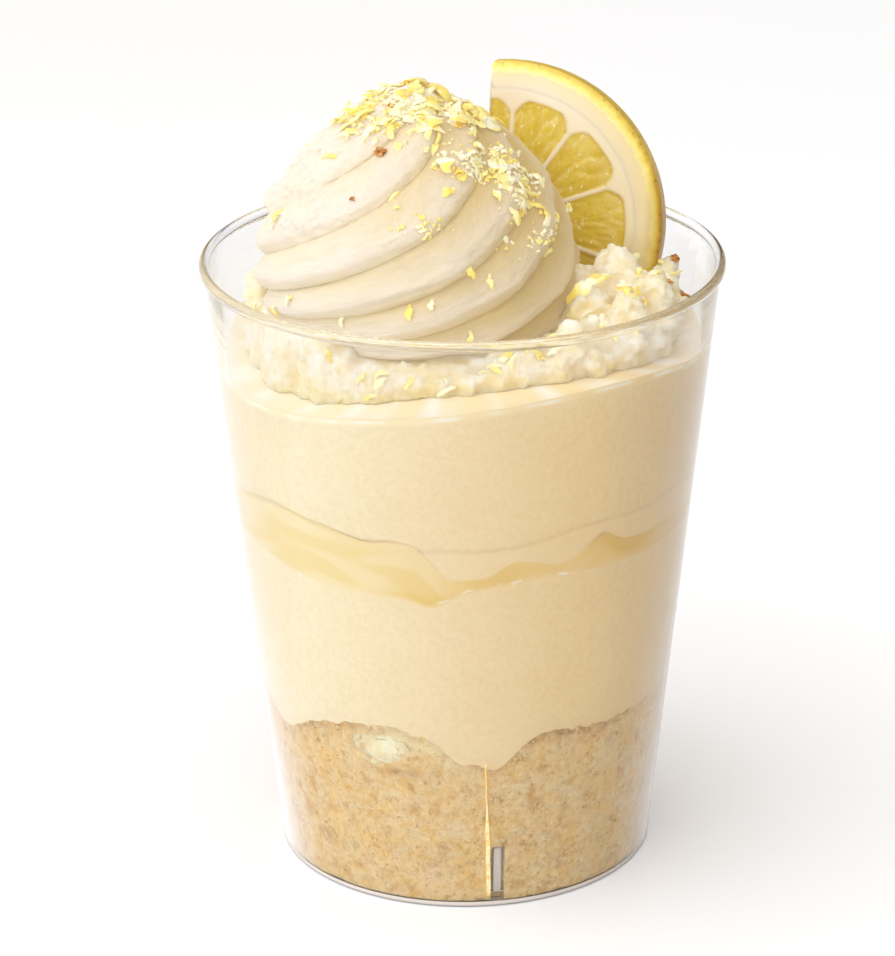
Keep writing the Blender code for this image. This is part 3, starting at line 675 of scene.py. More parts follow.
def curdShare(place):
    # how yellow the filling is at the wall: 0 mousse, about 0.6 curd, 1 deep curd
    x, y, z = place
    degrees = angleOf(x, y)
    bottom, top = layerHeight(curdBottom, x, y), layerHeight(curdTop, x, y)
    blurTop, blurBottom = blurAt(place, "blurTop"), blurAt(place, "blurBottom")
    inside = smoothStep(-blurTop, blurTop, top - z) * smoothStep(-blurBottom, blurBottom, z - bottom)
    below = (top - z) / mm
    along, down = filling["streaks"]
    middle, half, lift = filling["paleBand"]
    streak = noiseAt(math.radians(degrees) * along, below * down, 3.0) + lift * bump(below - middle, half)
    inFront = filling["front"][0] <= degrees <= filling["front"][1]
    pale = smoothStep(*filling["paleFrom"], streak) * filling["paleFront" if inFront else "palest"]
    angle, width, strength = filling["thin"]
    richer = (spotAt(degrees, below, "pool") + spotAt(degrees, (z - bottom) / mm, "drip")
              + nearAngle(degrees, angle, width) * strength)
    share = filling["curdShare"] * inside * (1.0 - pale) + inside * richer
    if foldStrength(degrees) > 0 and z > top:
        over, blur = z - layerHeight(fold, x, y), filling["foldBlur"]
        share += filling["foldTone"] * foldStrength(degrees) * smoothStep(blur, -blur, over)
    return clamped(share + filling["topTone"] * topShare(place))


def glintShare(place):
    # painted glints: broken bright highlights where the thin curd runs out at the wall
    x, y, z = place
    degrees = angleOf(x, y)
    along = smoothStep(*filling["glintIn"], degrees) * smoothStep(*filling["glintOut"], degrees)
    sway = filling["glintSway"] * math.sin(degrees * 0.9)
    line = bump(z - layerHeight(curdBottom, x, y) - filling["glintUp"] - sway, filling["glintWidth"])
    broken = smoothStep(-0.05, 0.25, noiseAt(degrees * 0.33, 0.0, 5.0))
    # and a painted highlight: a bright wavy line along the top of the mousse
    wave = filling["lineWave"] * noiseAt(math.radians(degrees) * 9.0, 0.0, 8.0)
    top = bump(z - layerHeight(mousseTop, x, y) - filling["lineUp"] - wave, filling["lineWidth"])
    shown = smoothStep(-0.35, 0.2, noiseAt(degrees * 0.12, 0.0, 9.0))
    return filling["glintShare"] * (along * line * broken + top * shown)


def shadeShare(place):
    # painted shade inside the fold and the cracks, and at the pool's edge
    x, y, z = place
    degrees = angleOf(x, y)
    depth, width = filling["foldShade"]
    inFold = depth * foldStrength(degrees) * bump(z - layerHeight(fold, x, y), width)
    edge = z - layerHeight(curdTop, x, y)
    depth, middle, width = filling["crackShade"]
    inCrack = depth * crackStrength(degrees) * bump(edge - middle, width)
    angle, half, width, depth = filling["poolShade"]
    return clamped(inFold + inCrack + depth * nearAngle(degrees, angle, half) * bump(edge, width))


def paintFilling(piece):
    paintByPlace(piece, curdShare=curdShare, topShare=topShare, shadeShare=shadeShare, glintShare=glintShare)


# painted shade: darker and yellower towards the right
def paintedFillingShade(tree, place):
    across = addRange(tree, partOf(tree, place, "X"), *filling["across"])
    return addRamp(tree, across, *filling["rightShadeRamp"])


def fillingMaterial(name, kind, grainDepth):
    material, tree, shader = startMaterial(name, kind["roughness"], 0.3)
    place = objectPlace(tree)
    pale, curdPaint = filling["pale"], readPaint(tree, "curdShare")
    fine = addNoise(tree, place, filling["grain"], 5.0, 0.8)
    colour = addRamp(tree, addNoise(tree, place, filling["cloud"], 4.0), (0.30, filling["mid"]), (0.62, pale))
    colour = addMix(tree, filling["speckle"], colour,
                    addRamp(tree, fine, (0.35, filling["fine"]), (0.6, pale)))
    curdTone = addRamp(tree, curdPaint, (0.0, pale), (0.6, filling["curd"]), (1.0, filling["deepCurd"]))
    colour = addMix(tree, addRamp(tree, curdPaint, (0.0, 0.0), (0.25, 1.0)), colour, curdTone)
    # painted on the colour: a sheen on the open top, shade in the folds and cracks, shade darker to the
    # right, and glints
    colour = addMix(tree, readPaint(tree, "topShare"), colour, filling["top"])
    colour = addMix(tree, readPaint(tree, "shadeShare"), colour, filling["shade"])
    colour = addMix(tree, 1.0, colour, paintedFillingShade(tree, place), "MULTIPLY")
    colourIt(tree, shader, addMix(tree, readPaint(tree, "glintShare"), colour, filling["glint"]))
    gloss = addRange(tree, curdPaint, 0.0, 0.3, kind["roughness"], filling["curdGloss"])
    feed(tree, gloss, shader.inputs["Roughness"])
    softenInside(shader, kind["inside"], kind["insideReach"])
    addBump(tree, shader, fine, filling["bump"], grainDepth)
    return material


mousse = {"sides": 420, "rows": 72, "rings": 16, "overlap": 0.25 * mm, "proud": 0.03 * mm,
          "meniscus": 0.75 * mm, "meniscusWidth": 0.9 * mm, "roughness": 0.5, "inside": 0.12,
          "insideReach": 0.4 * mm, "crowd": 1.45, "grainDepth": 0.25 * mm, "sharp": 40}


def mousseReach(angle, z, overLow, underHigh):
    # the wall's inside, drawn back in a crack under the upper mousse and in its fold
    degrees = math.degrees(angle)
    back = 0.0
    edge = fillRadius(z)
    x, y = edge * math.cos(angle), edge * math.sin(angle)
    if z > layerHeight(curdTop, x, y) - crack["below"]:
        back += crack["depth"] * crackStrength(degrees) * bump(overLow - mousse["overlap"], crack["width"])
        strength = foldStrength(degrees)
        if strength > 0:
            over, blur = z - layerHeight(fold, x, y), fold["ledgeBlur"]
            back += strength * fold["depth"] * bump(over, fold["width"])
            back += strength * fold["ledge"] * smoothStep(blur, -blur, over)
    return edge + mousse["proud"] - back


def meniscusAt(x, y):
    # the top creeps up the wall
    toWall = fillRadius(mousseTop["level"]) - math.hypot(x, y)
    return mousse["meniscus"] * math.exp(-max(0.0, toWall) / mousse["meniscusWidth"])


def makeMousse(name, node, bottom, top, material, crowd, rise):
    drum = makeDrum(mousse["sides"], mousse["rows"], mousse["rings"])
    shapeLayer(drum, lambda x, y: layerHeight(bottom, x, y) - mousse["overlap"],
               lambda x, y: layerHeight(top, x, y) + rise(x, y), mousseReach, crowd)
    settlePiece(drum)
    paintFilling(drum)
    dressPiece(drum, name, material, node, mousse["sharp"])


lemonMousse = fillingMaterial("lemonMousse", mousse, mousse["grainDepth"])
makeMousse("lowerMousse", "mousse_lower", crumbTop, curdBottom, lemonMousse, 1 / mousse["crowd"],
           lambda x, y: 0.0)
makeMousse("upperMousse", "mousse_upper", curdTop, mousseTop, lemonMousse, mousse["crowd"], meniscusAt)

curd = {"sides": 420, "rows": 30, "rings": 10, "overlap": 0.25 * mm, "under": 0.02 * mm, "back": 0.03 * mm,
        "backWidth": 0.3 * mm, "roughness": 0.25, "inside": 0.12, "insideReach": 0.4 * mm,
        "grainDepth": 0.1 * mm, "sharp": 40}


def curdReach(angle, z, overLow, underHigh):
    return fillRadius(z) - curd["back"] * bump(max(0.0, underHigh), curd["backWidth"])


def makeCurd():
    drum = makeDrum(curd["sides"], curd["rows"], curd["rings"])
    shapeLayer(drum, lambda x, y: layerHeight(curdBottom, x, y) - curd["overlap"],
               lambda x, y: layerHeight(curdTop, x, y) - curd["under"], curdReach)
    settlePiece(drum)
    paintFilling(drum)
    material = fillingMaterial("lemonCurd", curd, curd["grainDepth"])
    dressPiece(drum, "lemonCurd", material, "lemon_curd", curd["sharp"])


makeCurd()


# Crumb base

crumb = {
    "sides": 780, "rows": 112, "rings": 10, "grain": 0.85 * mm, "relief": 0.24 * mm, "pit": 0.5 * mm,
    "pitSize": 2.2 * mm, "pitFrom": 0.12, "dust": 0.06 * mm, "dustSize": 0.45 * mm, "hill": 1.15,
    "hillPower": 1.8, "intoFloor": 1.0 * mm, "intoWall": 0.34 * mm, "keepIn": 0.04 * mm,
    "ribRoom": 0.35 * mm,
    "grainTones": ((0.32, (0.70, 0.39, 0.12)), (0.43, (0.93, 0.64, 0.28)), (0.56, (1.0, 0.80, 0.43)),
                   (0.68, (1.0, 0.93, 0.66))),
    "crumbTones": ((0.05, (0.80, 0.50, 0.18)), (0.35, (0.93, 0.66, 0.30)), (0.65, (1.0, 0.80, 0.45)),
                   (0.95, (1.0, 0.92, 0.68))),
    "patchTones": ((0.36, (1.0, 0.655, 0.19)), (0.5, (0.98, 0.715, 0.335)), (0.64, (0.97, 0.76, 0.48))),
    "grainNoise": 0.9 * mm, "shiftNoise": 0.7 * mm, "shift": 0.9 * mm, "crumbCell": 1.0 * mm,
    "crumbShare": 0.42, "patchNoise": 3.4 * mm, "patchShare": 0.45, "speckNoise": 1.1 * mm,
    # deep is the colour of the painted shade between the grains
    "speckShare": ((0.62, 0.0), (0.7, 0.7)), "deep": (0.71, 0.41, 0.13), "buttery": (1.0, 0.86, 0.52),
    "speck": (0.66, 0.36, 0.10), "crust": (0.50, 0.27, 0.09), "roughness": 0.8, "inside": 0.2,
    "insideReach": 0.6 * mm, "bumpNoise": 0.45 * mm, "bump": (0.9, 0.35 * mm),
    # darker brown crumbs as (angle, half width, strength), and a darker line of them under the lump
    "darkened": ((-62, 16, 0.75), (-130, 16, 0.5)), "brownLeast": 0.25, "brownBand": (0.3, 1.1),
    "underLump": (-110, 8, 22.8 * mm, 0.7 * mm, 0.75), "brownMost": 0.85, "brownGrain": 1.3 * mm,
    # crumbs soaked with cream as (angle, half width, depth under the mousse, half depth, strength)
    "soakedRound": (-112, 11, 1.6 * mm, 1.5 * mm, 0.95), "soakedBeside": (-99, 8, 0.5 * mm, 1.4 * mm, 1.3),
    "soakedGrain": 1.6 * mm, "soakedMost": 0.92, "deepFrom": 0.2 * mm, "deepOver": 0.42 * mm,
    "deepMost": 0.6, "looseCount": 5600, "looseSize": (0.2 * mm, 0.8 * mm), "looseSeed": 21,
    "loosePower": 2.5, "looseFlatness": (0.9, 0.7, 0.45, 0.8), "looseBand": (0.8 * mm, 0.1 * mm),
    "looseSunk": (0.6, 1.0), "looseInward": 0.6 * mm, "looseInwardBySize": 1.2, "looseTip": 0.5,
    "sharp": 70, "looseSharp": 30}


def crumbMaterial(name, crusted):
    material, tree, shader = startMaterial(name, crumb["roughness"], 0.2)
    place = objectPlace(tree)
    colour = addRamp(tree, addNoise(tree, place, crumb["grainNoise"], 6.0, 0.72), *crumb["grainTones"])
    # every crumb has a tone of its own and a broken outline
    shift = addNode(tree, "TexNoise", {"Vector": place, "Scale": 1.0 / crumb["shiftNoise"], "Detail": 3.0})
    moved = addNode(tree, "VectorMath", {0: shift.outputs["Color"], "Scale": crumb["shift"]},
                    operation="SCALE")
    broken = addNode(tree, "VectorMath", {0: place, 1: moved.outputs[0]}, operation="ADD").outputs[0]
    tones = addRamp(tree, cellTone(tree, broken, crumb["crumbCell"]), *crumb["crumbTones"])
    colour = addMix(tree, crumb["crumbShare"], colour, tones)
    patches = addRamp(tree, addNoise(tree, place, crumb["patchNoise"], 4.0, 0.6), *crumb["patchTones"])
    colour = addMix(tree, crumb["patchShare"], colour, patches)
    specks = addRamp(tree, addNoise(tree, place, crumb["speckNoise"], 3.0), *crumb["speckShare"])
    colour = addMix(tree, specks, colour, crumb["speck"])
    if crusted:
        # the paints: shade between the grains, crumbs soaked with cream, and darker brown under the mousse
        # and the lump
        for paint in ("deep", "buttery", "crust"):
            colour = addMix(tree, readPaint(tree, paint), colour, crumb[paint])
    colourIt(tree, shader, colour)
    softenInside(shader, crumb["inside"], crumb["insideReach"])
    addBump(tree, shader, addNoise(tree, place, crumb["bumpNoise"], 4.0, 0.75), *crumb["bump"])
    return material


def ribRoomAt(angle, z):
    # how far the crumbs stay back round the cup's inner ribs
    if z > floorLevel + cup["ribHeight"] + crumb["ribRoom"]:
        return 0.0
    for index in range(cup["ribs"]):
        away = turnBetween(math.degrees(angle), cup["ribAngle"] + 360.0 / cup["ribs"] * index)
        if abs(math.radians(away)) * fillRadius(z) < cup["ribWidth"] / 2 + crumb["ribRoom"]:
            return cup["ribDepth"] + crumb["ribRoom"] + foodReach + crumb["intoWall"]
    return 0.0


def crumbHollow(place):
    # how far a place on the crumbs lies back, between grains and in pits
    distances, centres = noise.voronoi(place / crumb["grain"])
    hills = min(1.0, distances[0] * crumb["hill"])
    pits = max(0.0, grainAt(place, crumb["pitSize"]) - crumb["pitFrom"])
    dust = crumb["dust"] * (1 + grainAt(place, crumb["dustSize"]))
    return crumb["relief"] * hills ** crumb["hillPower"] + crumb["pit"] * pits + dust


def crumbReach(angle, z, overLow, underHigh):
    place = Vector((math.cos(angle), math.sin(angle), 0)) * fillRadius(z) + Vector((0, 0, z))
    back = min(crumbHollow(place), crumb["intoWall"] + foodReach - crumb["keepIn"])
    return fillRadius(z) + crumb["intoWall"] - back - ribRoomAt(angle, z)


def crustShare(place):
    # darker brown just under the mousse, most of all beside the lobe at the front
    x, y, z = place
    degrees = angleOf(x, y)
    under = (layerHeight(crumbTop, x, y) - z) / mm
    strength = crumb["brownLeast"]
    for angle, width, share in crumb["darkened"]:
        strength += share * nearAngle(degrees, angle, width)
    brown = strength * bump(max(0.0, under - crumb["brownBand"][0]), crumb["brownBand"][1])
    angle, width, level, height, share = crumb["underLump"]
    brown += share * nearAngle(degrees, angle, width) * bump(z - level, height)
    return clamped(brown * (0.75 + 0.9 * grainAt(place, crumb["brownGrain"])), 0.0, crumb["brownMost"])


def butteryShare(place):
    # crumbs soaked with cream round the lump and under the mousse beside it
    x, y, z = place
    degrees = angleOf(x, y)
    under = layerHeight(crumbTop, x, y) - z
    angle, width, depth, half, share = crumb["soakedRound"]
    soaked = share * nearAngle(degrees, angle, width) * bump(max(0.0, under - depth), half)
    angle, width, depth, half, share = crumb["soakedBeside"]
    soaked += share * nearAngle(degrees, angle, width) * bump(under - depth, half)
    return clamped(soaked * (0.9 + 0.9 * ruggedAt(place, crumb["soakedGrain"])), 0.0, crumb["soakedMost"])


def hollowShadeShare(place):
    # painted shade: darker between the grains and in the pits
    spot = Vector((place.x, place.y, 0)).normalized() * fillRadius(place.z) + Vector((0, 0, place.z))
    return clamped((crumbHollow(spot) - crumb["deepFrom"]) / crumb["deepOver"], 0.0, crumb["deepMost"])


def makeCrumbBase(material):
    bottom = floorLevel - crumb["intoFloor"]
    drum = makeDrum(crumb["sides"], crumb["rows"], crumb["rings"])
    shapeLayer(drum, lambda x, y: bottom, lambda x, y: layerHeight(crumbTop, x, y), crumbReach)
    settlePiece(drum)
    paintByPlace(drum, crust=crustShare, deep=hollowShadeShare, buttery=butteryShare)
    dressPiece(drum, "crumbBase", material, "crumb_base", crumb["sharp"])


def copiesOf(patterns, places, name):
    # one joined mesh of many placed copies of a few small patterns
    points, faces = [], []
    for matrix, kind in places:
        mesh = patterns[kind].data
        start = len(points)
        points += [matrix @ vertex.co for vertex in mesh.vertices]
        faces += [tuple(start + index for index in face.vertices) for face in mesh.polygons]
    return joinedMesh(name, points, faces, patterns)


def makeGrainPattern(draw, flatness):
    setDown()
    bpy.ops.mesh.primitive_ico_sphere_add(subdivisions=1, radius=1.0)
    grain = bpy.context.object
    for point in grain.data.vertices:
        point.co *= draw.uniform(0.65, 1.2)
        point.co.z *= flatness
    return grain


def scatterTurn(draw, facing):
    # upright on the surface, turned at random and tipped a little
    turned = facing.to_track_quat("Z", "Y").to_matrix().to_4x4()
    tip = crumb["looseTip"]
    return (turned @ Matrix.Rotation(draw.uniform(0, math.tau), 4, "Z")
            @ Matrix.Rotation(draw.uniform(-tip, tip), 4, "X"))


def makeLooseCrumbs(material):
    draw = random.Random(crumb["looseSeed"])
    patterns = [makeGrainPattern(draw, flatness) for flatness in crumb["looseFlatness"]]
    places = []
    edge = fillRadius(crumbTop["level"])
    overFloor, underTop = crumb["looseBand"]
    while len(places) < crumb["looseCount"]:
        angle = draw.uniform(-math.pi, math.pi)
        top = layerHeight(crumbTop, edge * math.cos(angle), edge * math.sin(angle))
        z = draw.uniform(floorLevel + overFloor, top - underTop)
        size = between(crumb["looseSize"], draw.random() ** crumb["loosePower"])
        if ribRoomAt(angle, z) or ribRoomAt(angle + 0.02, z) or ribRoomAt(angle - 0.02, z):
            continue
        sunk = crumb["intoWall"] - size * draw.uniform(*crumb["looseSunk"])
        reach = fillRadius(z) + min(sunk, crumb["looseInward"] - crumb["looseInwardBySize"] * size)
        facing = Vector((math.cos(angle), math.sin(angle), 0))
        place = facing * reach + Vector((0, 0, z))
        matrix = Matrix.Translation(place) @ scatterTurn(draw, facing) @ Matrix.Scale(size, 4)
        places.append((matrix, draw.randrange(len(patterns))))
    grains = copiesOf(patterns, places, "looseCrumbs")
    dressPiece(grains, "looseCrumbs", material, "crumb_base", crumb["looseSharp"])


makeCrumbBase(crumbMaterial("biscuitCrumb", True))
makeLooseCrumbs(crumbMaterial("biscuitGrain", False))


# Creams, as the swirl, the lump in the crumbs and the rough bed

cream = {"lit": (0.765, 0.673, 0.575), "warm": (0.755, 0.66, 0.52), "valley": (0.745, 0.565, 0.19),
         "paintedShade": (0.53, 0.345, 0.08), "glow": (1.0, 0.92, 0.66), "glowStrength": 0.14, "cloud": 7 * mm,
         "inside": 0.55, "roughness": 0.55, "grain": (0.4 * mm, 0.45 * mm), "reach": 1.4 * mm}
# the butter's lit blotches are partly painted highlights, partly its own paler tone
butter = {"lit": (1.0, 0.92, 0.68), "warm": (0.88, 0.74, 0.43), "cloud": 2.4 * mm, "inside": 0.8,
          "grain": (0.6 * mm, 0.2 * mm), "reach": 0.6 * mm}
snow = {"lit": (0.92, 0.845, 0.715), "warm": (0.90, 0.775, 0.49), "valley": (0.87, 0.675, 0.26),
        "cloud": 5 * mm, "glowStrength": 0.06, "inside": 0.8, "grain": (0.35 * mm, 0.35 * mm),
        "reach": 2.6 * mm}


def creamMaterial(name, tones):
    material, tree, shader = startMaterial(name, cream["roughness"], 0.35)
    place = objectPlace(tree)
    colour = addRamp(tree, addNoise(tree, place, tones["cloud"], 4.0), (0.35, tones["warm"]),
                     (0.6, tones["lit"]))
    if "valley" in tones:
        # painted shade: yellower in the valleys and darker on the sides that face right
        colour = addMix(tree, readPaint(tree, "yellowAndShade"), colour, tones["valley"])
        colour = addMix(tree, readPaint(tree, "paintedShade"), colour, cream["paintedShade"])
        # painted glow, standing in for light that came through the cream from behind
        shader.inputs["Emission Color"].default_value = (*cream["glow"], 1.0)
        shader.inputs["Emission Strength"].default_value = tones["glowStrength"]
    colourIt(tree, shader, colour)
    softenInside(shader, tones["inside"], tones["reach"])
    grainSize, grainDepth = tones["grain"]
    addBump(tree, shader, addNoise(tree, place, grainSize, 5.0, 0.75), 0.7, grainDepth)
    return material


# Lump of butter cream caught in the crumbs

pocket = {"angle": -113.3, "level": 26.5 * mm, "size": (5.2 * mm, 3.4 * mm, 3.3 * mm), "relief": 1.2 * mm,
          "grain": 2.2, "torn": 0.75 * mm, "tornSize": 0.3, "push": 1.7 * mm, "hollow": 0.15 * mm,
          "hollowSize": 1.8 * mm, "edgeDip": 0.3 * mm, "edgeFrom": (0.35, 1.05), "edgeRagged": 0.3,
          "edgeSize": 1.2 * mm}


def pocketLimit(place):
    # how far out the lump may come: into the wall, less towards its ragged edge
    halfWidth, halfDepth, halfHeight = pocket["size"]
    hollow = pocket["hollow"] * max(0.0, grainAt(place, pocket["hollowSize"]))
    limit = fillRadius(place.z) + crumb["intoWall"] - hollow
    aside = math.radians(turnBetween(angleOf(place.x, place.y), pocket["angle"])) * limit
    away = math.hypot(aside / halfWidth, (place.z - pocket["level"]) / halfHeight)
    away += pocket["edgeRagged"] * ruggedAt(place, pocket["edgeSize"])
    return limit - pocket["edgeDip"] * smoothStep(*pocket["edgeFrom"], away)


def makePocket(material):
    setDown()
    bpy.ops.mesh.primitive_ico_sphere_add(subdivisions=5, radius=1.0)
    blob = bpy.context.object
    halfWidth, halfDepth, halfHeight = pocket["size"]
    centre = fillRadius(pocket["level"]) - halfDepth + pocket["push"]
    turn = Matrix.Rotation(math.radians(pocket["angle"]), 4, "Z")
    for point in blob.data.vertices:
        swell = pocket["relief"] * grainAt(point.co, 1 / pocket["grain"])
        swell += pocket["torn"] * ruggedAt(point.co, pocket["tornSize"])
        size = Vector((halfDepth, halfWidth, halfHeight)) + Vector((1, 1, 1)) * swell
        place = Vector(a * b for a, b in zip(point.co, size)) + Vector((centre, 0.0, pocket["level"]))
        place = turn @ place
        reach, limit = math.hypot(place.x, place.y), pocketLimit(place)
        if reach > limit:
            place.x *= limit / reach
            place.y *= limit / reach
        point.co = place
    settlePiece(blob)
    dressPiece(blob, "butterPocket", material, "cream_pocket")


makePocket(creamMaterial("butterCream", butter))


# Bright streak inside the wall: a painted caustic, its colour and glow painted light

streak = {
    "angles": (-83.2, -84.5), "low": 1.9 * mm, "high": 25.0 * mm, "widths": (0.18 * mm, 0.6 * mm),
    "thinFrom": (0.72, 0.45), "wobble": 0.35, "wobbleSize": 1.6 * mm, "depth": 0.5 * mm, "proud": 0.42 * mm,
    "sway": 0.1 * mm, "swaySize": 3.0 * mm, "steps": 60, "colour": (1.0, 0.84, 0.46),
    "edge": (0.98, 0.66, 0.22), "glow": 0.25, "toneSize": 1.1 * mm, "sharp": 40}


def makeStreak():
    setDown()
    bpy.ops.mesh.primitive_cube_add(size=1.0, location=(0, 0, 0.5))
    strip = bpy.context.object
    bpy.ops.object.transform_apply(location=True)
    editOnly(strip, edgeTest=lambda a, b: abs(a.z - b.z) > 0.5)
    bpy.ops.mesh.subdivide(number_cuts=streak["steps"] - 1)
    setDown()
    for point in strip.data.vertices:
        share = point.co.z
        z = between((streak["low"], streak["high"]), share)
        middle = math.radians(between(streak["angles"], share))
        width = between(streak["widths"], smoothStep(*streak["thinFrom"], share))
        width *= 1.0 + streak["wobble"] * noiseAt(z / streak["wobbleSize"], point.co.y * 2, 0)
        shift = streak["sway"] * noiseAt(z / streak["swaySize"], 0, 2)
        reach = fillRadius(z) + streak["proud"] - streak["depth"] * (0.5 - point.co.x)
        turn = middle + (point.co.y * width + shift) / reach
        point.co = (reach * math.cos(turn), reach * math.sin(turn), z)
    settlePiece(strip)
    material, tree, shader = startMaterial("paintedCaustic", 0.2, 0.5)
    tones = addNoise(tree, objectPlace(tree), streak["toneSize"], 3.0)
    colour = addRamp(tree, tones, (0.4, streak["edge"]), (0.58, streak["colour"]))
    colourIt(tree, shader, colour)
    # painted light: the streak glows
    feed(tree, colour, shader.inputs["Emission Color"])
    shader.inputs["Emission Strength"].default_value = streak["glow"]
    softenInside(shader, 0.4, 0.8 * mm)
    addBump(tree, shader, tones, 0.3, 0.1 * mm)
    dressPiece(strip, "causticStreak", material, "crumb_base", streak["sharp"])


makeStreak()


# Piped swirl

swirl = {
    "centre": (-6.8 * mm, -2.0 * mm), "floor": 86.0 * mm, "belly": 92.0 * mm, "peak": 120.5 * mm,
    "radius": 24.2 * mm, "footTaper": 0.30, "bulge": 2.2, "point": 0.8, "ribs": 9, "ribDepth": 2.2 * mm,
    "phase": 0.28, "crest": 0.62, "crestRound": 0.46, "under": 1.9 * mm, "litCurve": 0.72,
    "shadeCurve": 0.62, "fade": 2.4, "thinning": 0.3, "climb": 0.115, "footClimb": 0.9, "footReach": 6.0,
    "lean": 0.7, "columnsPerRib": 56, "rings": 180, "domeShare": 0.93, "ringPower": 0.85,
    # unevenness from rib to rib, and the relief on them
    "wander": 0.12, "wanderSize": 6 * mm, "uneven": 0.42, "unevenSize": 9 * mm, "crease": 0.26 * mm,
    "creases": 7.0, "creaseSize": 8 * mm, "sway": 0.75 * mm, "swaySize": 8 * mm, "lumpy": 0.24 * mm,
    "lumpySize": 2.4 * mm, "grainy": 0.13 * mm, "grainySize": 0.6 * mm, "torn": 1.2 * mm,
    "tornSize": 2.6 * mm, "tornTurn": -168.0, "tornWidth": 44.0, "tornFlat": 0.65,
    "tornBand": (98.0 * mm, 104.0 * mm),
    # painted shade: yellow in the valleys, and darker on the sides that look right
    "dimSide": 15.0, "duskSide": 0.5, "duskValley": (0.85, 0.8), "warmPower": 1.2, "warmLeast": 0.35,
    "underFootShade": 0.45}


def swirlRadius(z):
    if z < swirl["belly"]:
        return swirl["radius"] - swirl["footTaper"] * (swirl["belly"] - z)
    rise = min(1.0, (z - swirl["belly"]) / (swirl["peak"] - swirl["belly"]))
    return swirl["radius"] * (1.0 - rise ** swirl["bulge"]) ** swirl["point"]


def swirlAngle(turnShare, z):
    # angle of a line that follows the ribs: nearly flat at the foot, then steep
    height = (z - swirl["floor"]) / mm
    foot = math.exp(-height / swirl["footReach"])
    climb = swirl["climb"] * height + swirl["footClimb"] * (1.0 - foot)
    wanted = swirl["ribs"] * turnShare + climb + swirl["phase"]
    fromFront = math.tau * wanted / swirl["ribs"]
    for attempt in range(6):
        found = swirl["ribs"] * fromFront / math.tau - swirl["lean"] * foot * math.sin(fromFront)
        fromFront += (wanted - found) * math.tau / swirl["ribs"]
    return fromFront - 0.5 * math.pi


def tornShare(turn, z):
    # how broken the surface is: only high on the left, where the ribs are lost
    return (nearAngle(math.degrees(turn), swirl["tornTurn"], swirl["tornWidth"])
            * smoothStep(*swirl["tornBand"], z))


def ribHeight(share):
    # a broad face that rises to the crest and a short one that falls from it
    rising = (share / swirl["crest"]) ** swirl["litCurve"]
    falling = ((1.0 - share) / (1.0 - swirl["crest"])) ** swirl["shadeCurve"]
    blend = clamped(0.5 + 0.5 * (falling - rising) / swirl["crestRound"])
    return falling * (1 - blend) + rising * blend - swirl["crestRound"] * blend * (1 - blend)


def swirlRelief(rib, ribShare, shape, place, torn):
    # creases along the rib, a soft sway, lumps and grain
    crease = noiseAt(ribShare * swirl["creases"], rib * 7.3, place.z / swirl["creaseSize"])
    return (swirl["crease"] * crease * shape + swirl["sway"] * grainAt(place, swirl["swaySize"])
            + swirl["lumpy"] * ruggedAt(place, swirl["lumpySize"], 2)
            + swirl["grainy"] * ruggedAt(place, swirl["grainySize"])
            + swirl["torn"] * torn * ruggedAt(place, swirl["tornSize"]))


def swirlPoint(turnShare, z, detail=0.0, wantPaint=False):
    radius = swirlRadius(z)
    narrow = radius / swirl["radius"]
    rise = max(0.0, (z - swirl["belly"]) / (swirl["peak"] - swirl["belly"]))
    rib = math.floor(swirl["ribs"] * turnShare)
    ribShare = (swirl["ribs"] * turnShare) % 1.0
    turn = swirlAngle(turnShare, z)
    torn = tornShare(turn, z) * min(1.0, detail)
    depth = swirl["ribDepth"] * (1.0 - swirl["thinning"] * rise) * min(1.0, swirl["fade"] * narrow)
    if detail:
        depth *= 1.0 + swirl["uneven"] * noiseAt(rib * 3.1, z / swirl["unevenSize"], 1.0)
        depth *= 1.0 - swirl["tornFlat"] * torn
        within = 4.0 * ribShare * (1.0 - ribShare)
        ribShare += swirl["wander"] * within * noiseAt(rib * 5.7, z / swirl["wanderSize"], 4.0)
    shape = ribHeight(ribShare)
    reach = max(0.0, radius - depth * (1.0 - shape))
    if detail:
        place = Vector((reach * math.cos(turn), reach * math.sin(turn), z))
        reach += detail * swirlRelief(rib, ribShare, shape, place, torn) * min(1.0, 4 * narrow)
    place = Vector((swirl["centre"][0] + reach * math.cos(turn),
                    swirl["centre"][1] + reach * math.sin(turn), z))
    if not wantPaint:
        return place
    # painted shade: yellow in the valleys, darker on the sides that face right
    side = 0.5 + 0.5 * math.cos(turn - math.radians(swirl["dimSide"]))
    most, power = swirl["duskValley"]
    paintedShade = side * (swirl["duskSide"] * side + most * (1.0 - shape) ** power)
    yellowAndShade = (1.0 - shape) ** swirl["warmPower"] * (1.0 - torn) * between((swirl["warmLeast"], 1.0), side)
    return place, clamped(yellowAndShade), min(1.0, paintedShade)


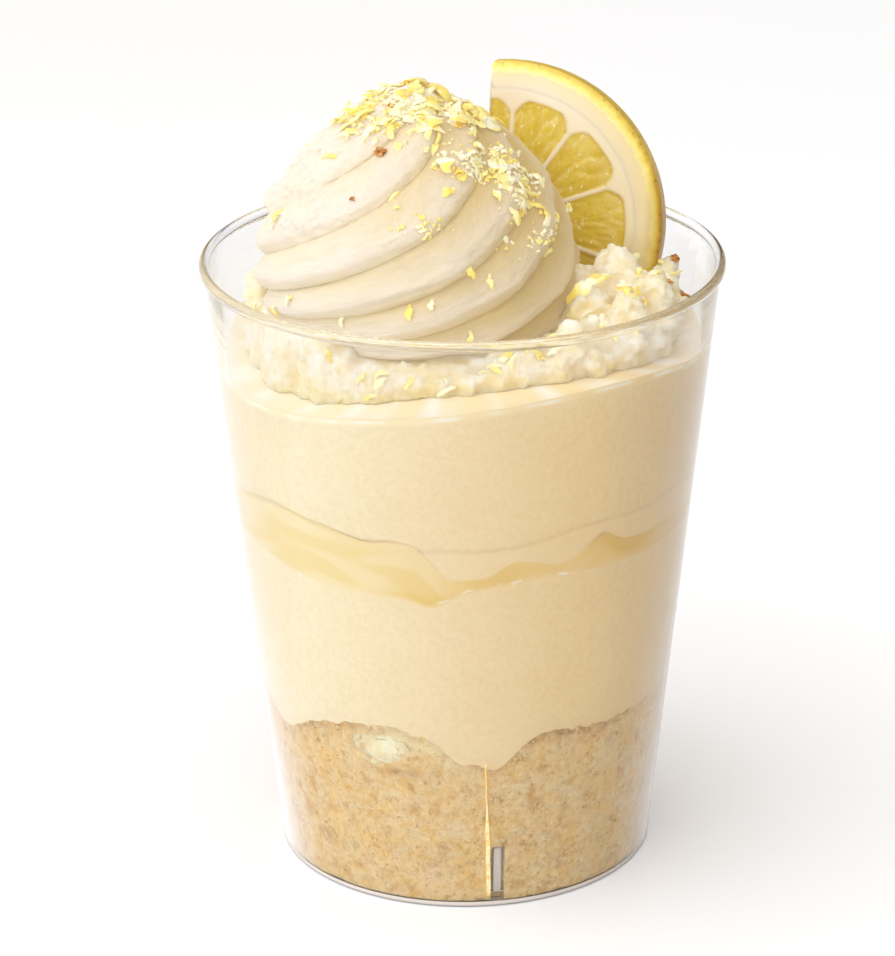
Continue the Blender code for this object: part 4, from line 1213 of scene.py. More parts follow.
def makeSwirl(material):
    setDown()
    segments = swirl["ribs"] * swirl["columnsPerRib"]
    bpy.ops.mesh.primitive_uv_sphere_add(segments=segments, ring_count=swirl["rings"], radius=1.0)
    dome = bpy.context.object
    height = swirl["peak"] - swirl["floor"]
    centre = Vector((*swirl["centre"], swirl["floor"]))
    yellowAndShades, paintedShades = [], []
    for point in dome.data.vertices:
        share = math.acos(clamped(point.co.z, -1.0)) / math.pi
        turnShare = (math.atan2(point.co.y, point.co.x) / math.tau) % 1.0
        if share < swirl["domeShare"]:
            level = 1.0 - share / swirl["domeShare"]
            z = swirl["floor"] + height * math.sin(0.5 * math.pi * level) ** swirl["ringPower"]
            point.co, yellowAndShade, paintedShade = swirlPoint(turnShare, z, 1.0, True)
        else:
            # the foot is rounded underneath
            inward = (1.0 - share) / (1.0 - swirl["domeShare"])
            rim = swirlPoint(turnShare, swirl["floor"])
            sunk = swirl["under"] * math.sqrt(1.0 - inward ** 4)
            point.co = centre + (rim - centre) * inward - upwards * sunk
            # painted shade under the foot
            yellowAndShade, paintedShade = swirl["underFootShade"], 0.0
        yellowAndShades.append(yellowAndShade)
        paintedShades.append(paintedShade)
    paintPoints(dome, "yellowAndShade", yellowAndShades)
    paintPoints(dome, "paintedShade", paintedShades)
    settlePiece(dome)
    dressPiece(dome, "pipedSwirl", material, "cream_swirl")


makeSwirl(creamMaterial("whippedCream", cream))


# Rough whipped cream round the swirl

rough = {
    "seed": 11, "edge": 2.0 * mm, "edgeSlope": 0.5 * mm,
    "hollows": ((-88, 42, 5.8 * mm), (120, 45, 4.0 * mm)), "thickness": 2.2 * mm, "thinnest": 1.6 * mm,
    "relief": 1.0 * mm, "grain": 2.6 * mm, "lumps": 34, "inset": (2.0 * mm, 7.0 * mm),
    "lumpRadius": (2.8 * mm, 4.6 * mm), "lumpHeight": (3.0 * mm, 5.8 * mm),
    "riseOnRight": (-15, 55, 6.5 * mm), "steepness": 2.4, "spread": 0.8, "lumpReach": 2.5,
    "lowFront": (-92, 32, 0.5),
    # mounds as (x, y, radius, height)
    "mounds": ((-22.0 * mm, -17.5 * mm, 9.5 * mm, 9.0 * mm), (-27.5 * mm, -8.0 * mm, 8.0 * mm, 9.5 * mm),
               (-29.5 * mm, 1.5 * mm, 6.0 * mm, 10.5 * mm), (-26.5 * mm, 10.0 * mm, 6.0 * mm, 9.0 * mm),
               (22.5 * mm, -4.0 * mm, 6.0 * mm, 14.0 * mm), (27.0 * mm, -8.0 * mm, 4.5 * mm, 11.5 * mm),
               (18.6 * mm, -10.0 * mm, 4.6 * mm, 9.8 * mm), (17.6 * mm, -3.5 * mm, 4.0 * mm, 12.0 * mm),
               (28.5 * mm, 9.0 * mm, 6.0 * mm, 8.5 * mm)),
    "sides": 300, "rows": 4, "rings": 60, "gap": 0.3 * mm, "intoMousse": 0.1 * mm, "underSwirl": 3.0 * mm,
    "underShare": 0.8, "rounding": 2.4 * mm, "fray": 1.2 * mm, "frayPace": 9.0, "frayRange": (-1.2, 0.3),
    "skirt": 85.0 * mm, "skirtSlope": 0.75, "skirtFrom": 0.93, "coreInset": 0.7 * mm, "nodules": 1500,
    "noduleSize": (0.45 * mm, 1.6 * mm), "nodulePower": 1.6, "noduleSeed": 4, "noduleInset": 0.6 * mm,
    "underDome": 2 * mm, "smoothSide": (-138, 36), "calmNodules": 0.4, "voxel": 0.38 * mm,
    "torn": 0.42 * mm, "tornSize": 2.1 * mm, "fluff": 0.3 * mm, "fluffSize": 0.8 * mm,
    "calmFront": (-98, 46, 0.3), "smooth": 3, "yellowBelow": (2.6 * mm, 0.2 * mm), "yellowPatch": 5 * mm,
    "yellowFront": (-100, 20, 0.3), "duskRight": 0.12}


def roughReach(angle):
    hollow = sum(depth * nearAngle(angle, centre, width) for centre, width, depth in rough["hollows"])
    return wallRadius(mousseTop["level"]) - cup["wall"] - rough["gap"] - rough["edge"] - hollow


def lowFrontAt(angle):
    return nearAngle(angle, *rough["lowFront"][:2])


def roughLumps():
    draw = random.Random(rough["seed"])
    lumps = list(rough["mounds"])
    centre, width, rise = rough["riseOnRight"]
    for index in range(rough["lumps"]):
        angle = 360.0 * (index + draw.random()) / rough["lumps"] - 180.0
        radius = roughReach(angle) - draw.uniform(*rough["inset"])
        height = rise * nearAngle(angle, centre, width) + draw.uniform(*rough["lumpHeight"])
        height *= 1.0 - rough["lowFront"][2] * lowFrontAt(angle)
        lumps.append((*onRing(radius, angle), draw.uniform(*rough["lumpRadius"]), height))
    return lumps


def frayedReach(angle):
    turn = math.radians(angle)
    fray = noise.fractal(Vector((math.cos(turn), math.sin(turn), 0.3)) * rough["frayPace"], 1.0, 2.0, 4)
    return roughReach(angle) + rough["fray"] * clamped(fray - 0.2, *rough["frayRange"])


def fromSwirl(x, y):
    return math.hypot(x - swirl["centre"][0], y - swirl["centre"][1])


def roughHeight(x, y, lumps):
    base = layerHeight(mousseTop, x, y) + rough["gap"]
    rise = rough["thickness"]
    for centreX, centreY, radius, height in lumps:
        away = math.hypot(x - centreX, y - centreY) / radius
        if away < rough["lumpReach"]:
            rise = max(rise, height * math.exp(-rough["spread"] * away ** rough["steepness"]))
    torn = rough["relief"] * noise.noise(Vector((x, y, 0.0)) / rough["grain"])
    toEdge = frayedReach(angleOf(x, y)) - math.hypot(x, y)
    rounded = math.sqrt(1.0 - (1.0 - clamped(toEdge / rough["rounding"])) ** 2)
    top = base + max(rough["thinnest"], rise + torn) * rounded
    away = fromSwirl(x, y)
    inside = away / swirl["radius"]
    if inside < rough["underShare"]:
        return max(top, swirl["floor"] + rough["underSwirl"] * (rough["underShare"] - inside))
    # the bed slopes down from the swirl's foot
    skirt = rough["skirt"] - rough["skirtSlope"] * max(0.0, away - rough["skirtFrom"] * swirl["radius"])
    return max(top, base + (skirt - base) * rounded)


def makeBed(lumps):
    bed = makeDrum(rough["sides"], rough["rows"], rough["rings"])
    for point in bed.data.vertices:
        across, height = math.hypot(point.co.x, point.co.y), point.co.z
        angle = angleOf(point.co.x, point.co.y)
        edge = frayedReach(angle) - rough["edgeSlope"] * height - rough["coreInset"]
        x, y = onRing(edge * across, angle)
        low, high = layerHeight(mousseTop, x, y) - rough["intoMousse"], roughHeight(x, y, lumps)
        point.co = (x, y, low + (high - low) * height)
    settlePiece(bed)
    return bed


def makeNodules(lumps):
    # small lumps of every size that break the bed's surface
    draw = random.Random(rough["noduleSeed"])
    setDown()
    bpy.ops.mesh.primitive_ico_sphere_add(subdivisions=2, radius=1.0)
    ball = bpy.context.object
    places = []
    while len(places) < rough["nodules"]:
        angle = draw.uniform(-180, 180)
        radius = (frayedReach(angle) - rough["noduleInset"]) * math.sqrt(draw.uniform(0.3, 1.0))
        x, y = onRing(radius, angle)
        if draw.random() < 1.2 * nearAngle(angle, *rough["smoothSide"]):
            continue
        if fromSwirl(x, y) < swirl["radius"] - rough["underDome"]:
            continue
        size = between(rough["noduleSize"], draw.random() ** rough["nodulePower"])
        size *= 1.0 - rough["calmNodules"] * lowFrontAt(angle)
        place = Vector((x, y, roughHeight(x, y, lumps) - size * draw.uniform(0.2, 0.8)))
        turned = Matrix.Rotation(draw.uniform(0, math.tau), 4, (draw.random(), 1, draw.random()))
        sizes = (size, size * draw.uniform(0.6, 1.1), size * draw.uniform(0.5, 0.9), 1.0)
        places.append((Matrix.Translation(place) @ turned @ Matrix.Diagonal(sizes), 0))
    return copiesOf([ball], places, "nodules")


def makeRoughCream(material):
    lumps = roughLumps()
    bed, nodules = makeBed(lumps), makeNodules(lumps)
    pickUp(bed)
    nodules.select_set(True)
    bpy.ops.object.join()
    addModifier(bed, "REMESH", mode="VOXEL", voxel_size=rough["voxel"])
    addModifier(bed, "SMOOTH", factor=0.5, iterations=rough["smooth"])
    outward = [point.normal.copy() for point in bed.data.vertices]
    yellowAndShades, paintedShades = [], []
    calmAngle, calmWidth, calm = rough["calmFront"]
    yellowAngle, yellowWidth, yellowShare = rough["yellowFront"]
    for point, normal in zip(bed.data.vertices, outward):
        torn, fluff = ruggedAt(point.co, rough["tornSize"]), ruggedAt(point.co, rough["fluffSize"])
        # yellower low down, at the front and in random patches, with painted shade in the hollows; painted
        # shade on the sides that face right
        x, y, z = point.co
        angle = angleOf(x, y)
        low = smoothStep(*rough["yellowBelow"], z - layerHeight(mousseTop, x, y))
        yellow = 0.6 * low - 0.5 * torn + 0.1 + 0.5 * grainAt(point.co, rough["yellowPatch"])
        yellowAndShades.append(clamped(yellow + yellowShare * nearAngle(angle, yellowAngle, yellowWidth)))
        paintedShades.append(rough["duskRight"] * smoothStep(0.15, 0.9, normal.x))
        front = nearAngle(angle, calmAngle, calmWidth)
        point.co += normal * (rough["torn"] * torn + rough["fluff"] * fluff) * (1.0 - calm * front)
    paintPoints(bed, "yellowAndShade", yellowAndShades)
    paintPoints(bed, "paintedShade", paintedShades)
    settlePiece(bed)
    dressPiece(bed, "roughCream", material, "rough_cream")
    return lumps


lumps = makeRoughCream(creamMaterial("roughWhippedCream", snow))


# Half slice of lemon

lemon = {
    "centre": Vector((6.9, 12.0, 95.3)) * mm, "radius": 23.9 * mm, "thickness": 4.6 * mm,
    "cutOffset": 3.0 * mm, "yaw": 13.0, "lean": 11.0, "pulpRadius": 18.5 * mm, "sink": 0.35 * mm,
    "recess": 0.9 * mm, "membranes": (88.0, 56.0, 21.0, -17.0, -52.0, -88.0, -123.0, 124.0),
    "membraneHalf": 0.16 * mm, "corner": 2.9 * mm, "cornerCut": 2.6 * mm, "core": 1.6 * mm,
    "soft": 0.3 * mm, "vesicleWidth": 0.085, "vesicleLength": 4.2 * mm, "vesicleRise": 0.13 * mm,
    "vesicleEdge": 2.4, "sides": 432, "pulpRows": 3, "pulpRings": 76, "rindSides": 288, "rindRows": 10,
    "rindRings": 30, "round": 0.75 * mm,
    # the pith's ripple, and how the pulp disc dives under it
    "ripple": 0.06 * mm, "rippleSize": 2.2 * mm, "rippleFrom": (2.2 * mm, 3.5 * mm), "pulpReach": 2.2 * mm,
    "cutProud": 0.03 * mm, "juiceRise": 0.05 * mm, "membraneRise": 0.035 * mm, "dive": 0.075 * mm,
    "diveFrom": (0.6 * mm, 2.2 * mm),
    "juiceTones": ((0.0, (0.60, 0.395, 0.022)), (0.35, (0.69, 0.485, 0.036)), (0.7, (0.76, 0.57, 0.068)),
                   (1.0, (0.88, 0.75, 0.26))),
    "juiceTone": (0.32, 0.34, 0.26), "fleckTones": ((0.4, (0.62, 0.38, 0.04)), (0.62, (0.96, 0.84, 0.48))),
    "fleckShare": 0.1, "fleckSize": 0.5 * mm, "pulpGlintSize": 0.7 * mm, "pulpGlints": ((0.64, 0.0), (0.72, 0.7)),
    "pith": (0.90, 0.775, 0.575), "pithShade": (0.90, 0.76, 0.46), "zest": (0.98, 0.89, 0.42),
    "zestDeep": (0.94, 0.77, 0.18), "skin": (0.78, 0.54, 0.08), "skinDeep": (0.44, 0.25, 0.02),
    # the last three: the pulp's painted glint, and the painted shade towards the slice's right
    "glint": (1.0, 0.93, 0.66), "rightSideShade": (0.88, 0.85, 0.68), "rightRindShade": (0.58, 0.44, 0.15),
    "teeth": 17.0, "teethReach": 0.035, "gland": 1.1 * mm}


def lemonFrame():
    yaw, lean = math.radians(lemon["yaw"]), math.radians(lemon["lean"])
    across = Vector((math.cos(yaw), -math.sin(yaw), 0.0))
    away = Vector((math.sin(yaw), math.cos(yaw), 0.0))
    up = away * math.sin(lean) + Vector((0.0, 0.0, 1.0)) * math.cos(lean)
    return across, up, across.cross(up)


def sliceEdge(angle, radius, cutOffset):
    # how far the half slice reaches from its middle in one direction
    side = math.cos(angle)
    if side < 0:
        return min(radius, cutOffset / -side)
    return radius


def placeOnSlice(w, u, out):
    across, up, facing = lemonFrame()
    return lemon["centre"] + across * w + up * u + facing * out


def sliceUV(piece, coordinates):
    # flat map of the slice: its middle at 0, its rind at 1
    layer = piece.data.uv_layers.new(name="slice")
    for loop in piece.data.loops:
        layer.data[loop.index].uv = coordinates[loop.vertex_index]


def flatPlace(tree):
    return addNode(tree, "UVMap", uv_map="slice").outputs["UV"]


# painted shade: the slice is darker towards its right, most of all at the rind's edge
def paintedSliceShade(tree, flat, colour):
    side = addRamp(tree, partOf(tree, flat, "X"), (0.25, 1.0), (0.88, lemon["rightSideShade"]),
                   (1.0, lemon["rightRindShade"]))
    return addMix(tree, 1.0, colour, side, "MULTIPLY")


def rindMaterial():
    material, tree, shader = startMaterial("lemonRind", 0.36, 0.5)
    flat = flatPlace(tree)
    length = addNode(tree, "VectorMath", {0: flat}, operation="LENGTH").outputs["Value"]
    teeth = addNode(tree, "TexNoise",
                    {"Vector": flat, "Scale": lemon["teeth"], "Detail": 4.0, "Roughness": 0.6})
    shift = addRange(tree, teeth.outputs["Fac"], 0.0, 1.0, -lemon["teethReach"], lemon["teethReach"])
    edge = addMath(tree, "ADD", length, shift)
    skin = addRamp(tree, edge, (0.74, lemon["pith"]), (0.84, lemon["pith"]), (0.925, lemon["pithShade"]),
                   (0.94, lemon["zest"]), (0.965, lemon["zestDeep"]), (0.99, lemon["skin"]))
    oilGlands = addCells(tree, objectPlace(tree), lemon["gland"])
    spots = addRamp(tree, oilGlands, (0.1, 0.75), (0.35, 0.0))
    outer = addRamp(tree, length, (0.975, 0.0), (0.99, 1.0))
    spotted = addMix(tree, addMix(tree, 1.0, spots, outer, "MULTIPLY"), skin, lemon["skinDeep"])
    colourIt(tree, shader, paintedSliceShade(tree, flat, spotted))
    softenInside(shader, 0.4, 1.5 * mm)
    onSkin = addRamp(tree, edge, (0.92, 0.0), (0.95, 1.0))
    addBump(tree, shader, addMix(tree, 1.0, oilGlands, onSkin, "MULTIPLY"), 0.4, 0.15 * mm)
    return material


def pulpMaterial():
    material, tree, shader = startMaterial("lemonPulp", 0.2, 0.5)
    juice = addRamp(tree, readPaint(tree, "juiceTone"), *lemon["juiceTones"])
    place = objectPlace(tree)
    grain = addNoise(tree, place, lemon["fleckSize"], 3.0)
    flecked = addMix(tree, lemon["fleckShare"], juice, addRamp(tree, grain, *lemon["fleckTones"]))
    # painted glints: small bright highlights on the juice
    pulpGlints = addRamp(tree, addNoise(tree, place, lemon["pulpGlintSize"], 2.0), *lemon["pulpGlints"])
    flecked = addMix(tree, pulpGlints, flecked, lemon["glint"])
    colour = addMix(tree, readPaint(tree, "juice"), lemon["pith"], flecked)
    colourIt(tree, shader, paintedSliceShade(tree, flatPlace(tree), colour))
    softenInside(shader, 0.5, 1.4 * mm, (1.0, 0.8, 0.4))
    addBump(tree, shader, grain, 0.18, 0.1 * mm)
    return material


def makeRind():
    drum = makeDrum(lemon["rindSides"], lemon["rindRows"], lemon["rindRings"])
    half = lemon["thickness"] / 2
    coordinates = []
    for point in drum.data.vertices:
        across, side = min(1.0, math.hypot(point.co.x, point.co.y)), point.co.z * 2 - 1
        angle = math.atan2(point.co.y, point.co.x)
        # on the ends the rings crowd towards the rind, and the middle is hollowed for the pulp
        edge = sliceEdge(angle, lemon["radius"], lemon["cutOffset"])
        rounding = lemon["round"] * (1 - math.sqrt(max(0.0, 1 - side ** 8)))
        reach = (edge - rounding) * across ** 0.7 if across < 0.999 else edge - rounding
        w, u = reach * math.cos(angle), reach * math.sin(angle)
        out = half * side
        if reach < lemon["pulpRadius"] and across < 0.999:
            out -= math.copysign(lemon["recess"], side)
        elif abs(side) > 0.99:
            ripple = smoothStep(*lemon["rippleFrom"], reach - lemon["pulpRadius"])
            wave = noise.noise(Vector((w, u, 0)) / lemon["rippleSize"])
            out += math.copysign(lemon["ripple"], side) * ripple * wave
        point.co = placeOnSlice(w, u, out)
        coordinates.append((w / lemon["radius"], u / lemon["radius"]))
    sliceUV(drum, coordinates)
    settlePiece(drum)
    dressPiece(drum, "lemonRind", rindMaterial(), "lemon_slice")


def juiceAt(angle, reach, side):
    # how deep inside a segment a place is, the height of its vesicle and its tone
    degrees = math.degrees(angle)
    away = min(abs(turnBetween(degrees, at)) for at in lemon["membranes"])
    arc = math.radians(away) * reach
    corner = max(0.0, 1.0 - arc / lemon["corner"])
    toRind = lemon["pulpRadius"] - lemon["cornerCut"] * corner ** 2 - reach
    juice = smoothStep(0.0, lemon["soft"], min(arc - lemon["membraneHalf"], toRind, reach - lemon["core"]))
    sway = 0.25 * noiseAt(angle * 3, reach / (5 * mm), side)
    cell = Vector((angle / lemon["vesicleWidth"] + sway, reach / lemon["vesicleLength"], side * 3))
    distances, centres = noise.voronoi(cell)
    body = min(1.0, (distances[1] - distances[0]) * lemon["vesicleEdge"])
    tone = 0.5 + 0.5 * noise.cell(centres[0] * 7.0)
    return juice, body, tone


def makePulp():
    drum = makeDrum(lemon["sides"], lemon["pulpRows"], lemon["pulpRings"])
    half = lemon["thickness"] / 2 - lemon["sink"]
    coordinates, juices, tones = [], [], []
    toneLow, toneCell, toneEdge = lemon["juiceTone"]
    for point in drum.data.vertices:
        across, side = min(1.0, math.hypot(point.co.x, point.co.y)), point.co.z * 2 - 1
        angle = math.atan2(point.co.y, point.co.x)
        edge = sliceEdge(angle, lemon["pulpRadius"] + lemon["pulpReach"],
                         lemon["cutOffset"] + lemon["cutProud"])
        reach = edge * across
        w, u = reach * math.cos(angle), reach * math.sin(angle)
        juice, body, tone = juiceAt(angle, reach, 1.0)
        out = half * side
        if abs(side) > 0.99:
            lift = juice * (lemon["vesicleRise"] * body + lemon["juiceRise"])
            lift += (1 - juice) * (lemon["sink"] + lemon["membraneRise"])
            lift -= lemon["dive"] * smoothStep(*lemon["diveFrom"], reach - lemon["pulpRadius"])
            out += math.copysign(lift, side)
        point.co = placeOnSlice(w, u, out)
        coordinates.append((w / lemon["radius"], u / lemon["radius"]))
        juices.append(juice)
        tones.append(clamped(toneLow + toneCell * tone + toneEdge * (1 - body)))
    sliceUV(drum, coordinates)
    paintPoints(drum, "juice", juices)
    paintPoints(drum, "juiceTone", tones)
    settlePiece(drum)
    dressPiece(drum, "lemonPulp", pulpMaterial(), "lemon_slice")


makeRind()
makePulp()


# Zest

zest = {
    "seed": 5, "length": (1.9 * mm, 3.6 * mm), "width": 1.0 * mm, "widths": (0.75, 1.2),
    "thickness": 0.5 * mm, "bend": 0.35, "onPeak": 26, "peakBand": (0.8 * mm, 7.2 * mm), "peakTurn": 137.5,
    "peakSpread": 36.0, "onFlank": 12, "flankBand": (8.0 * mm, 23.0 * mm), "frontSpill": (-85.0, -25.0),
    "flankSpill": (-150.0, 80.0), "columns": 63, "onBed": 12, "bedSpill": (-150.0, 40.0),
    "bedInset": (2.5 * mm, 5.5 * mm), "clearance": 2.2 * mm, "curlLength": 6.2 * mm, "curlIndex": 8,
    "patterns": 8, "patternSeed": 8, "fineSeed": 31, "glow": 0.07, "lift": 0.1 * mm, "underTop": 0.05 * mm,
    "sharp": 50,
    # finer shreds as (count, angles, heights above the swirl's floor, lengths, tilt)
    "fineOnSwirl": ((70, (-180.0, 180.0), (29.5 * mm, 34.1 * mm), (1.0 * mm, 4.2 * mm), 0.5),
                    (84, (-150.0, 0.0), (27.5 * mm, 33.6 * mm), (1.0 * mm, 4.6 * mm), 0.45),
                    (66, (-66.0, -24.0), (15.0 * mm, 29.5 * mm), (0.9 * mm, 3.6 * mm), 0.3),
                    (14, (-160.0, 60.0), (8.0 * mm, 24.0 * mm), (0.5 * mm, 1.4 * mm), 0.2),
                    (10, (30.0, 180.0), (12.0 * mm, 28.0 * mm), (0.6 * mm, 1.8 * mm), 0.2)),
    "fineWidth": (0.22, 0.6), "fineThickness": (0.4 * mm, 0.9 * mm), "lengthPower": 1.8, "heightPower": 0.7,
    "clump": 8, "clumpTurn": 8.0, "clumpHeight": 0.8 * mm, "crumbsPerShred": 3,
    "crumbSize": (0.3 * mm, 0.8 * mm),
    # single shreds that the photo shows, as (angle, height above the swirl's floor, length, width)
    "shown": ((-160.0, 16.5 * mm, 3.4 * mm, 1.8 * mm), (-141.0, 6.5 * mm, 1.6 * mm, 0.8 * mm),
              (-118.0, 5.0 * mm, 1.8 * mm, 0.8 * mm), (-92.0, 7.5 * mm, 2.2 * mm, 0.9 * mm),
              (-84.0, 8.6 * mm, 1.6 * mm, 1.0 * mm), (-62.0, 11.0 * mm, 2.0 * mm, 0.9 * mm),
              (-150.0, 4.0 * mm, 1.6 * mm, 0.9 * mm), (-70.0, 3.0 * mm, 1.8 * mm, 0.8 * mm)),
    "shownLift": 0.25 * mm, "shownThickness": 1.0 * mm, "shownBend": 0.25,
    # the curled strip beside the swirl: its place over the rough cream, run and front
    "curl": {"place": (18.0 * mm, -11.5 * mm), "run": (0.8, 0.1, 0.5), "front": (0.1, -0.85, 0.5),
             "rise": 0.7 * mm, "size": (6.2 * mm, 1.9 * mm, 1.2 * mm), "bend": 0.7},
    # finer shreds as (count, angles, insets from the edge of the rough cream, lengths)
    "fineOnBed": ((44, (-45.0, 20.0), (1.0 * mm, 9.0 * mm), (1.0 * mm, 3.6 * mm)),
                  (60, (-155.0, -60.0), (0.4 * mm, 5.0 * mm), (0.7 * mm, 2.8 * mm)),
                  (12, (150.0, 200.0), (1.0 * mm, 8.0 * mm), (0.9 * mm, 3.0 * mm)),
                  (12, (30.0, 150.0), (1.0 * mm, 8.0 * mm), (0.6 * mm, 2.0 * mm))),
    "bedWidth": (0.2, 0.45), "bedTilt": 0.35,
    "tones": ((0.0, (0.90, 0.56, 0.06)), (0.16, (0.95, 0.71, 0.11)), (0.4, (0.96, 0.79, 0.25)),
              (0.65, (0.96, 0.86, 0.44)), (0.9, (0.95, 0.90, 0.68))),
    "toneCell": 2.1 * mm, "streaks": ((0.4, (1.0, 0.80, 0.22)), (0.65, (1.0, 0.94, 0.62))),
    "streakSize": 0.5 * mm, "streakShare": 0.25, "pore": 0.35 * mm}


def zestMaterial():
    material, tree, shader = startMaterial("lemonZest", 0.38, 0.5)
    place = objectPlace(tree)
    colour = addRamp(tree, cellTone(tree, place, zest["toneCell"]), *zest["tones"])
    streaks = addRamp(tree, addNoise(tree, place, zest["streakSize"], 3.0), *zest["streaks"])
    colour = addMix(tree, zest["streakShare"], colour, streaks)
    colourIt(tree, shader, colour)
    # painted glow that lifts the shreds' shade
    feed(tree, colour, shader.inputs["Emission Color"])
    shader.inputs["Emission Strength"].default_value = zest["glow"]
    softenInside(shader, 0.6, 0.7 * mm)
    addBump(tree, shader, addCells(tree, place, zest["pore"]), 0.25, 0.06 * mm)
    return material


def makeShred(shape):
    # one flat, torn shred of length 1 along X, as wide as a third of it
    setDown()
    bpy.ops.mesh.primitive_grid_add(x_subdivisions=7, y_subdivisions=2, size=1.0)
    shred = bpy.context.object
    wave = shape.random()
    for point in shred.data.vertices:
        along, across = point.co.x, point.co.y * 2
        taper = 1.0 - 2.4 * along * along
        width = taper * (1.0 + 0.65 * shape.uniform(-1, 1)) if across else 0.0
        side = 0.10 * math.sin(along * 6 + 3 * shape.random())
        lift = 0.3 * math.sin(along * 5 + 6 * wave) + shape.uniform(-0.12, 0.12)
        point.co = (along + shape.uniform(-0.04, 0.04), 0.5 * across * width + side, lift)
    addModifier(shred, "SOLIDIFY", thickness=0.34, offset=0.0)
    bpy.ops.object.mode_set(mode="EDIT")
    bpy.ops.mesh.select_all(action="SELECT")
    bpy.ops.mesh.vertices_smooth(factor=0.35, repeat=1)
    setDown()
    return shred


def layShred(patterns, place, facing, draw, length, width, thickness, tilt):
    # a placed, bent copy of a shred that lies on what carries it
    turned = facing.to_track_quat("Z", "Y").to_matrix().to_4x4()
    turned = turned @ Matrix.Rotation(draw.uniform(0.0, math.tau), 4, "Z")
    turned = turned @ Matrix.Rotation(draw.uniform(-tilt, tilt), 4, "Y")
    matrix = Matrix.Translation(place) @ turned @ Matrix.Diagonal((length, width, thickness, 1.0))
    return matrix, draw.randrange(len(patterns)), zest["bend"] * draw.uniform(-0.5, 2.2)


def framed(place, first, second, third, sizes):
    # a copy's matrix from its three directions
    turned = Matrix((first, second, third)).transposed().to_4x4()
    return Matrix.Translation(place) @ turned @ Matrix.Diagonal((*sizes, 1.0))


def bentCopies(patterns, places, name):
    # one joined mesh: each copy bows along its length before it is placed
    points, faces = [], []
    for matrix, kind, bend in places:
        mesh = patterns[kind].data
        start = len(points)
        length = matrix.col[0].to_3d().length
        lift = matrix.col[2].to_3d().normalized()
        for vertex in mesh.vertices:
            point = matrix @ vertex.co + lift * (bend * length * (0.10 - vertex.co.x ** 2))
            point.z = min(point.z, cadBox[1][2] - zest["underTop"])
            points.append(point)
        faces += [tuple(start + index for index in face.vertices) for face in mesh.polygons]
    return joinedMesh(name, points, faces, patterns)


def swirlFacing(turnShare, z):
    step = 0.5 * mm
    slope = (swirlRadius(z + step) - swirlRadius(z - step)) / (2 * step)
    turn = swirlAngle(turnShare, z)
    return Vector((math.cos(turn), math.sin(turn), -slope)).normalized()


def shareNear(angle, z):
    shares = [column / zest["columns"] for column in range(zest["columns"])]
    return min(shares, key=lambda share: abs(turnBetween(math.degrees(swirlAngle(share, z)), angle)))


def fromOutside(piece, angle, z):
    # where a line from outside towards the swirl's axis meets a piece
    turn = math.radians(angle)
    axis = Vector((*swirl["centre"], z))
    start = axis + Vector((math.cos(turn), math.sin(turn), 0)) * 40 * mm
    found, place, normal, index = piece.ray_cast(start, (axis - start).normalized())
    return (place, normal) if found else (None, None)


def fromAbove(piece, x, y):
    found, place, normal, index = piece.ray_cast(Vector((x, y, 0.2)), Vector((0, 0, -1)))
    return (place, normal) if found else (None, None)


def coarseZest(patterns):
    # the shreds that the frame has too, at the same places
    draw, laid, spots = random.Random(zest["seed"]), [], []
    for index in range(zest["onPeak"]):
        angle = zest["peakTurn"] * index + zest["peakSpread"] * draw.random()
        spots.append((angle, swirl["peak"] - between(zest["peakBand"], (index + 1) / zest["onPeak"])))
    for index in range(zest["onFlank"]):
        angle = draw.uniform(*(zest["frontSpill"] if index % 3 else zest["flankSpill"]))
        spots.append((angle, swirl["peak"] - between(zest["flankBand"], (index + 0.5) / zest["onFlank"])))

    def lay(place, facing, length):
        heading = facing.orthogonal().normalized()
        turn = draw.uniform(0.0, math.tau)
        width = zest["width"] * draw.uniform(*zest["widths"])
        heading.rotate(Matrix.Rotation(turn, 3, facing))
        sizes = (length, width, zest["thickness"] * 2)
        matrix = framed(place + facing * zest["lift"], heading, facing.cross(heading), facing, sizes)
        laid.append((matrix, len(laid) % len(patterns), zest["bend"]))

    for angle, z in spots:
        share = shareNear(angle, z)
        lay(swirlPoint(share, z), swirlFacing(share, z), draw.uniform(*zest["length"]))
    for index in range(zest["onBed"]):
        angle = between(zest["bedSpill"], (index + draw.random()) / zest["onBed"])
        x, y = onRing(roughReach(angle) - draw.uniform(*zest["bedInset"]), angle)
        if fromSwirl(x, y) < swirl["radius"] + zest["clearance"]:
            continue
        length = zest["curlLength"] if index == zest["curlIndex"] else draw.uniform(*zest["length"])
        lay(Vector((x, y, roughHeight(x, y, lumps))), upwards, length)
    return laid


def fineOnSwirl(patterns, dome, draw):
    laid = []

    def nextSpot(heights):
        z = swirl["floor"] + min(heights[1], centre[1] + draw.gauss(0, zest["clumpHeight"]))
        return fromOutside(dome, centre[0] + draw.gauss(0, zest["clumpTurn"]), z)

    for count, angles, heights, lengths, tilt in zest["fineOnSwirl"]:
        for index in range(count):
            if index % zest["clump"] == 0:
                centre = draw.uniform(*angles), between(heights, draw.random() ** zest["heightPower"])
            place, normal = nextSpot(heights)
            length = between(lengths, draw.random() ** zest["lengthPower"])
            if place:
                facing = (normal + upwards * 0.5).normalized()
                place = place + facing * draw.uniform(0.1, 1.2 * tilt) * mm
                width = length * draw.uniform(*zest["fineWidth"])
                laid.append(layShred(patterns, place, facing, draw, length, width,
                                     draw.uniform(*zest["fineThickness"]), tilt))
            for crumbIndex in range(zest["crumbsPerShred"]):
                place, normal = nextSpot(heights)
                size = draw.uniform(*zest["crumbSize"])
                if place:
                    place = place + normal * zest["lift"]
                    laid.append(layShred(patterns, place, normal, draw, size, size * 0.9, size, 1.0))
    return laid


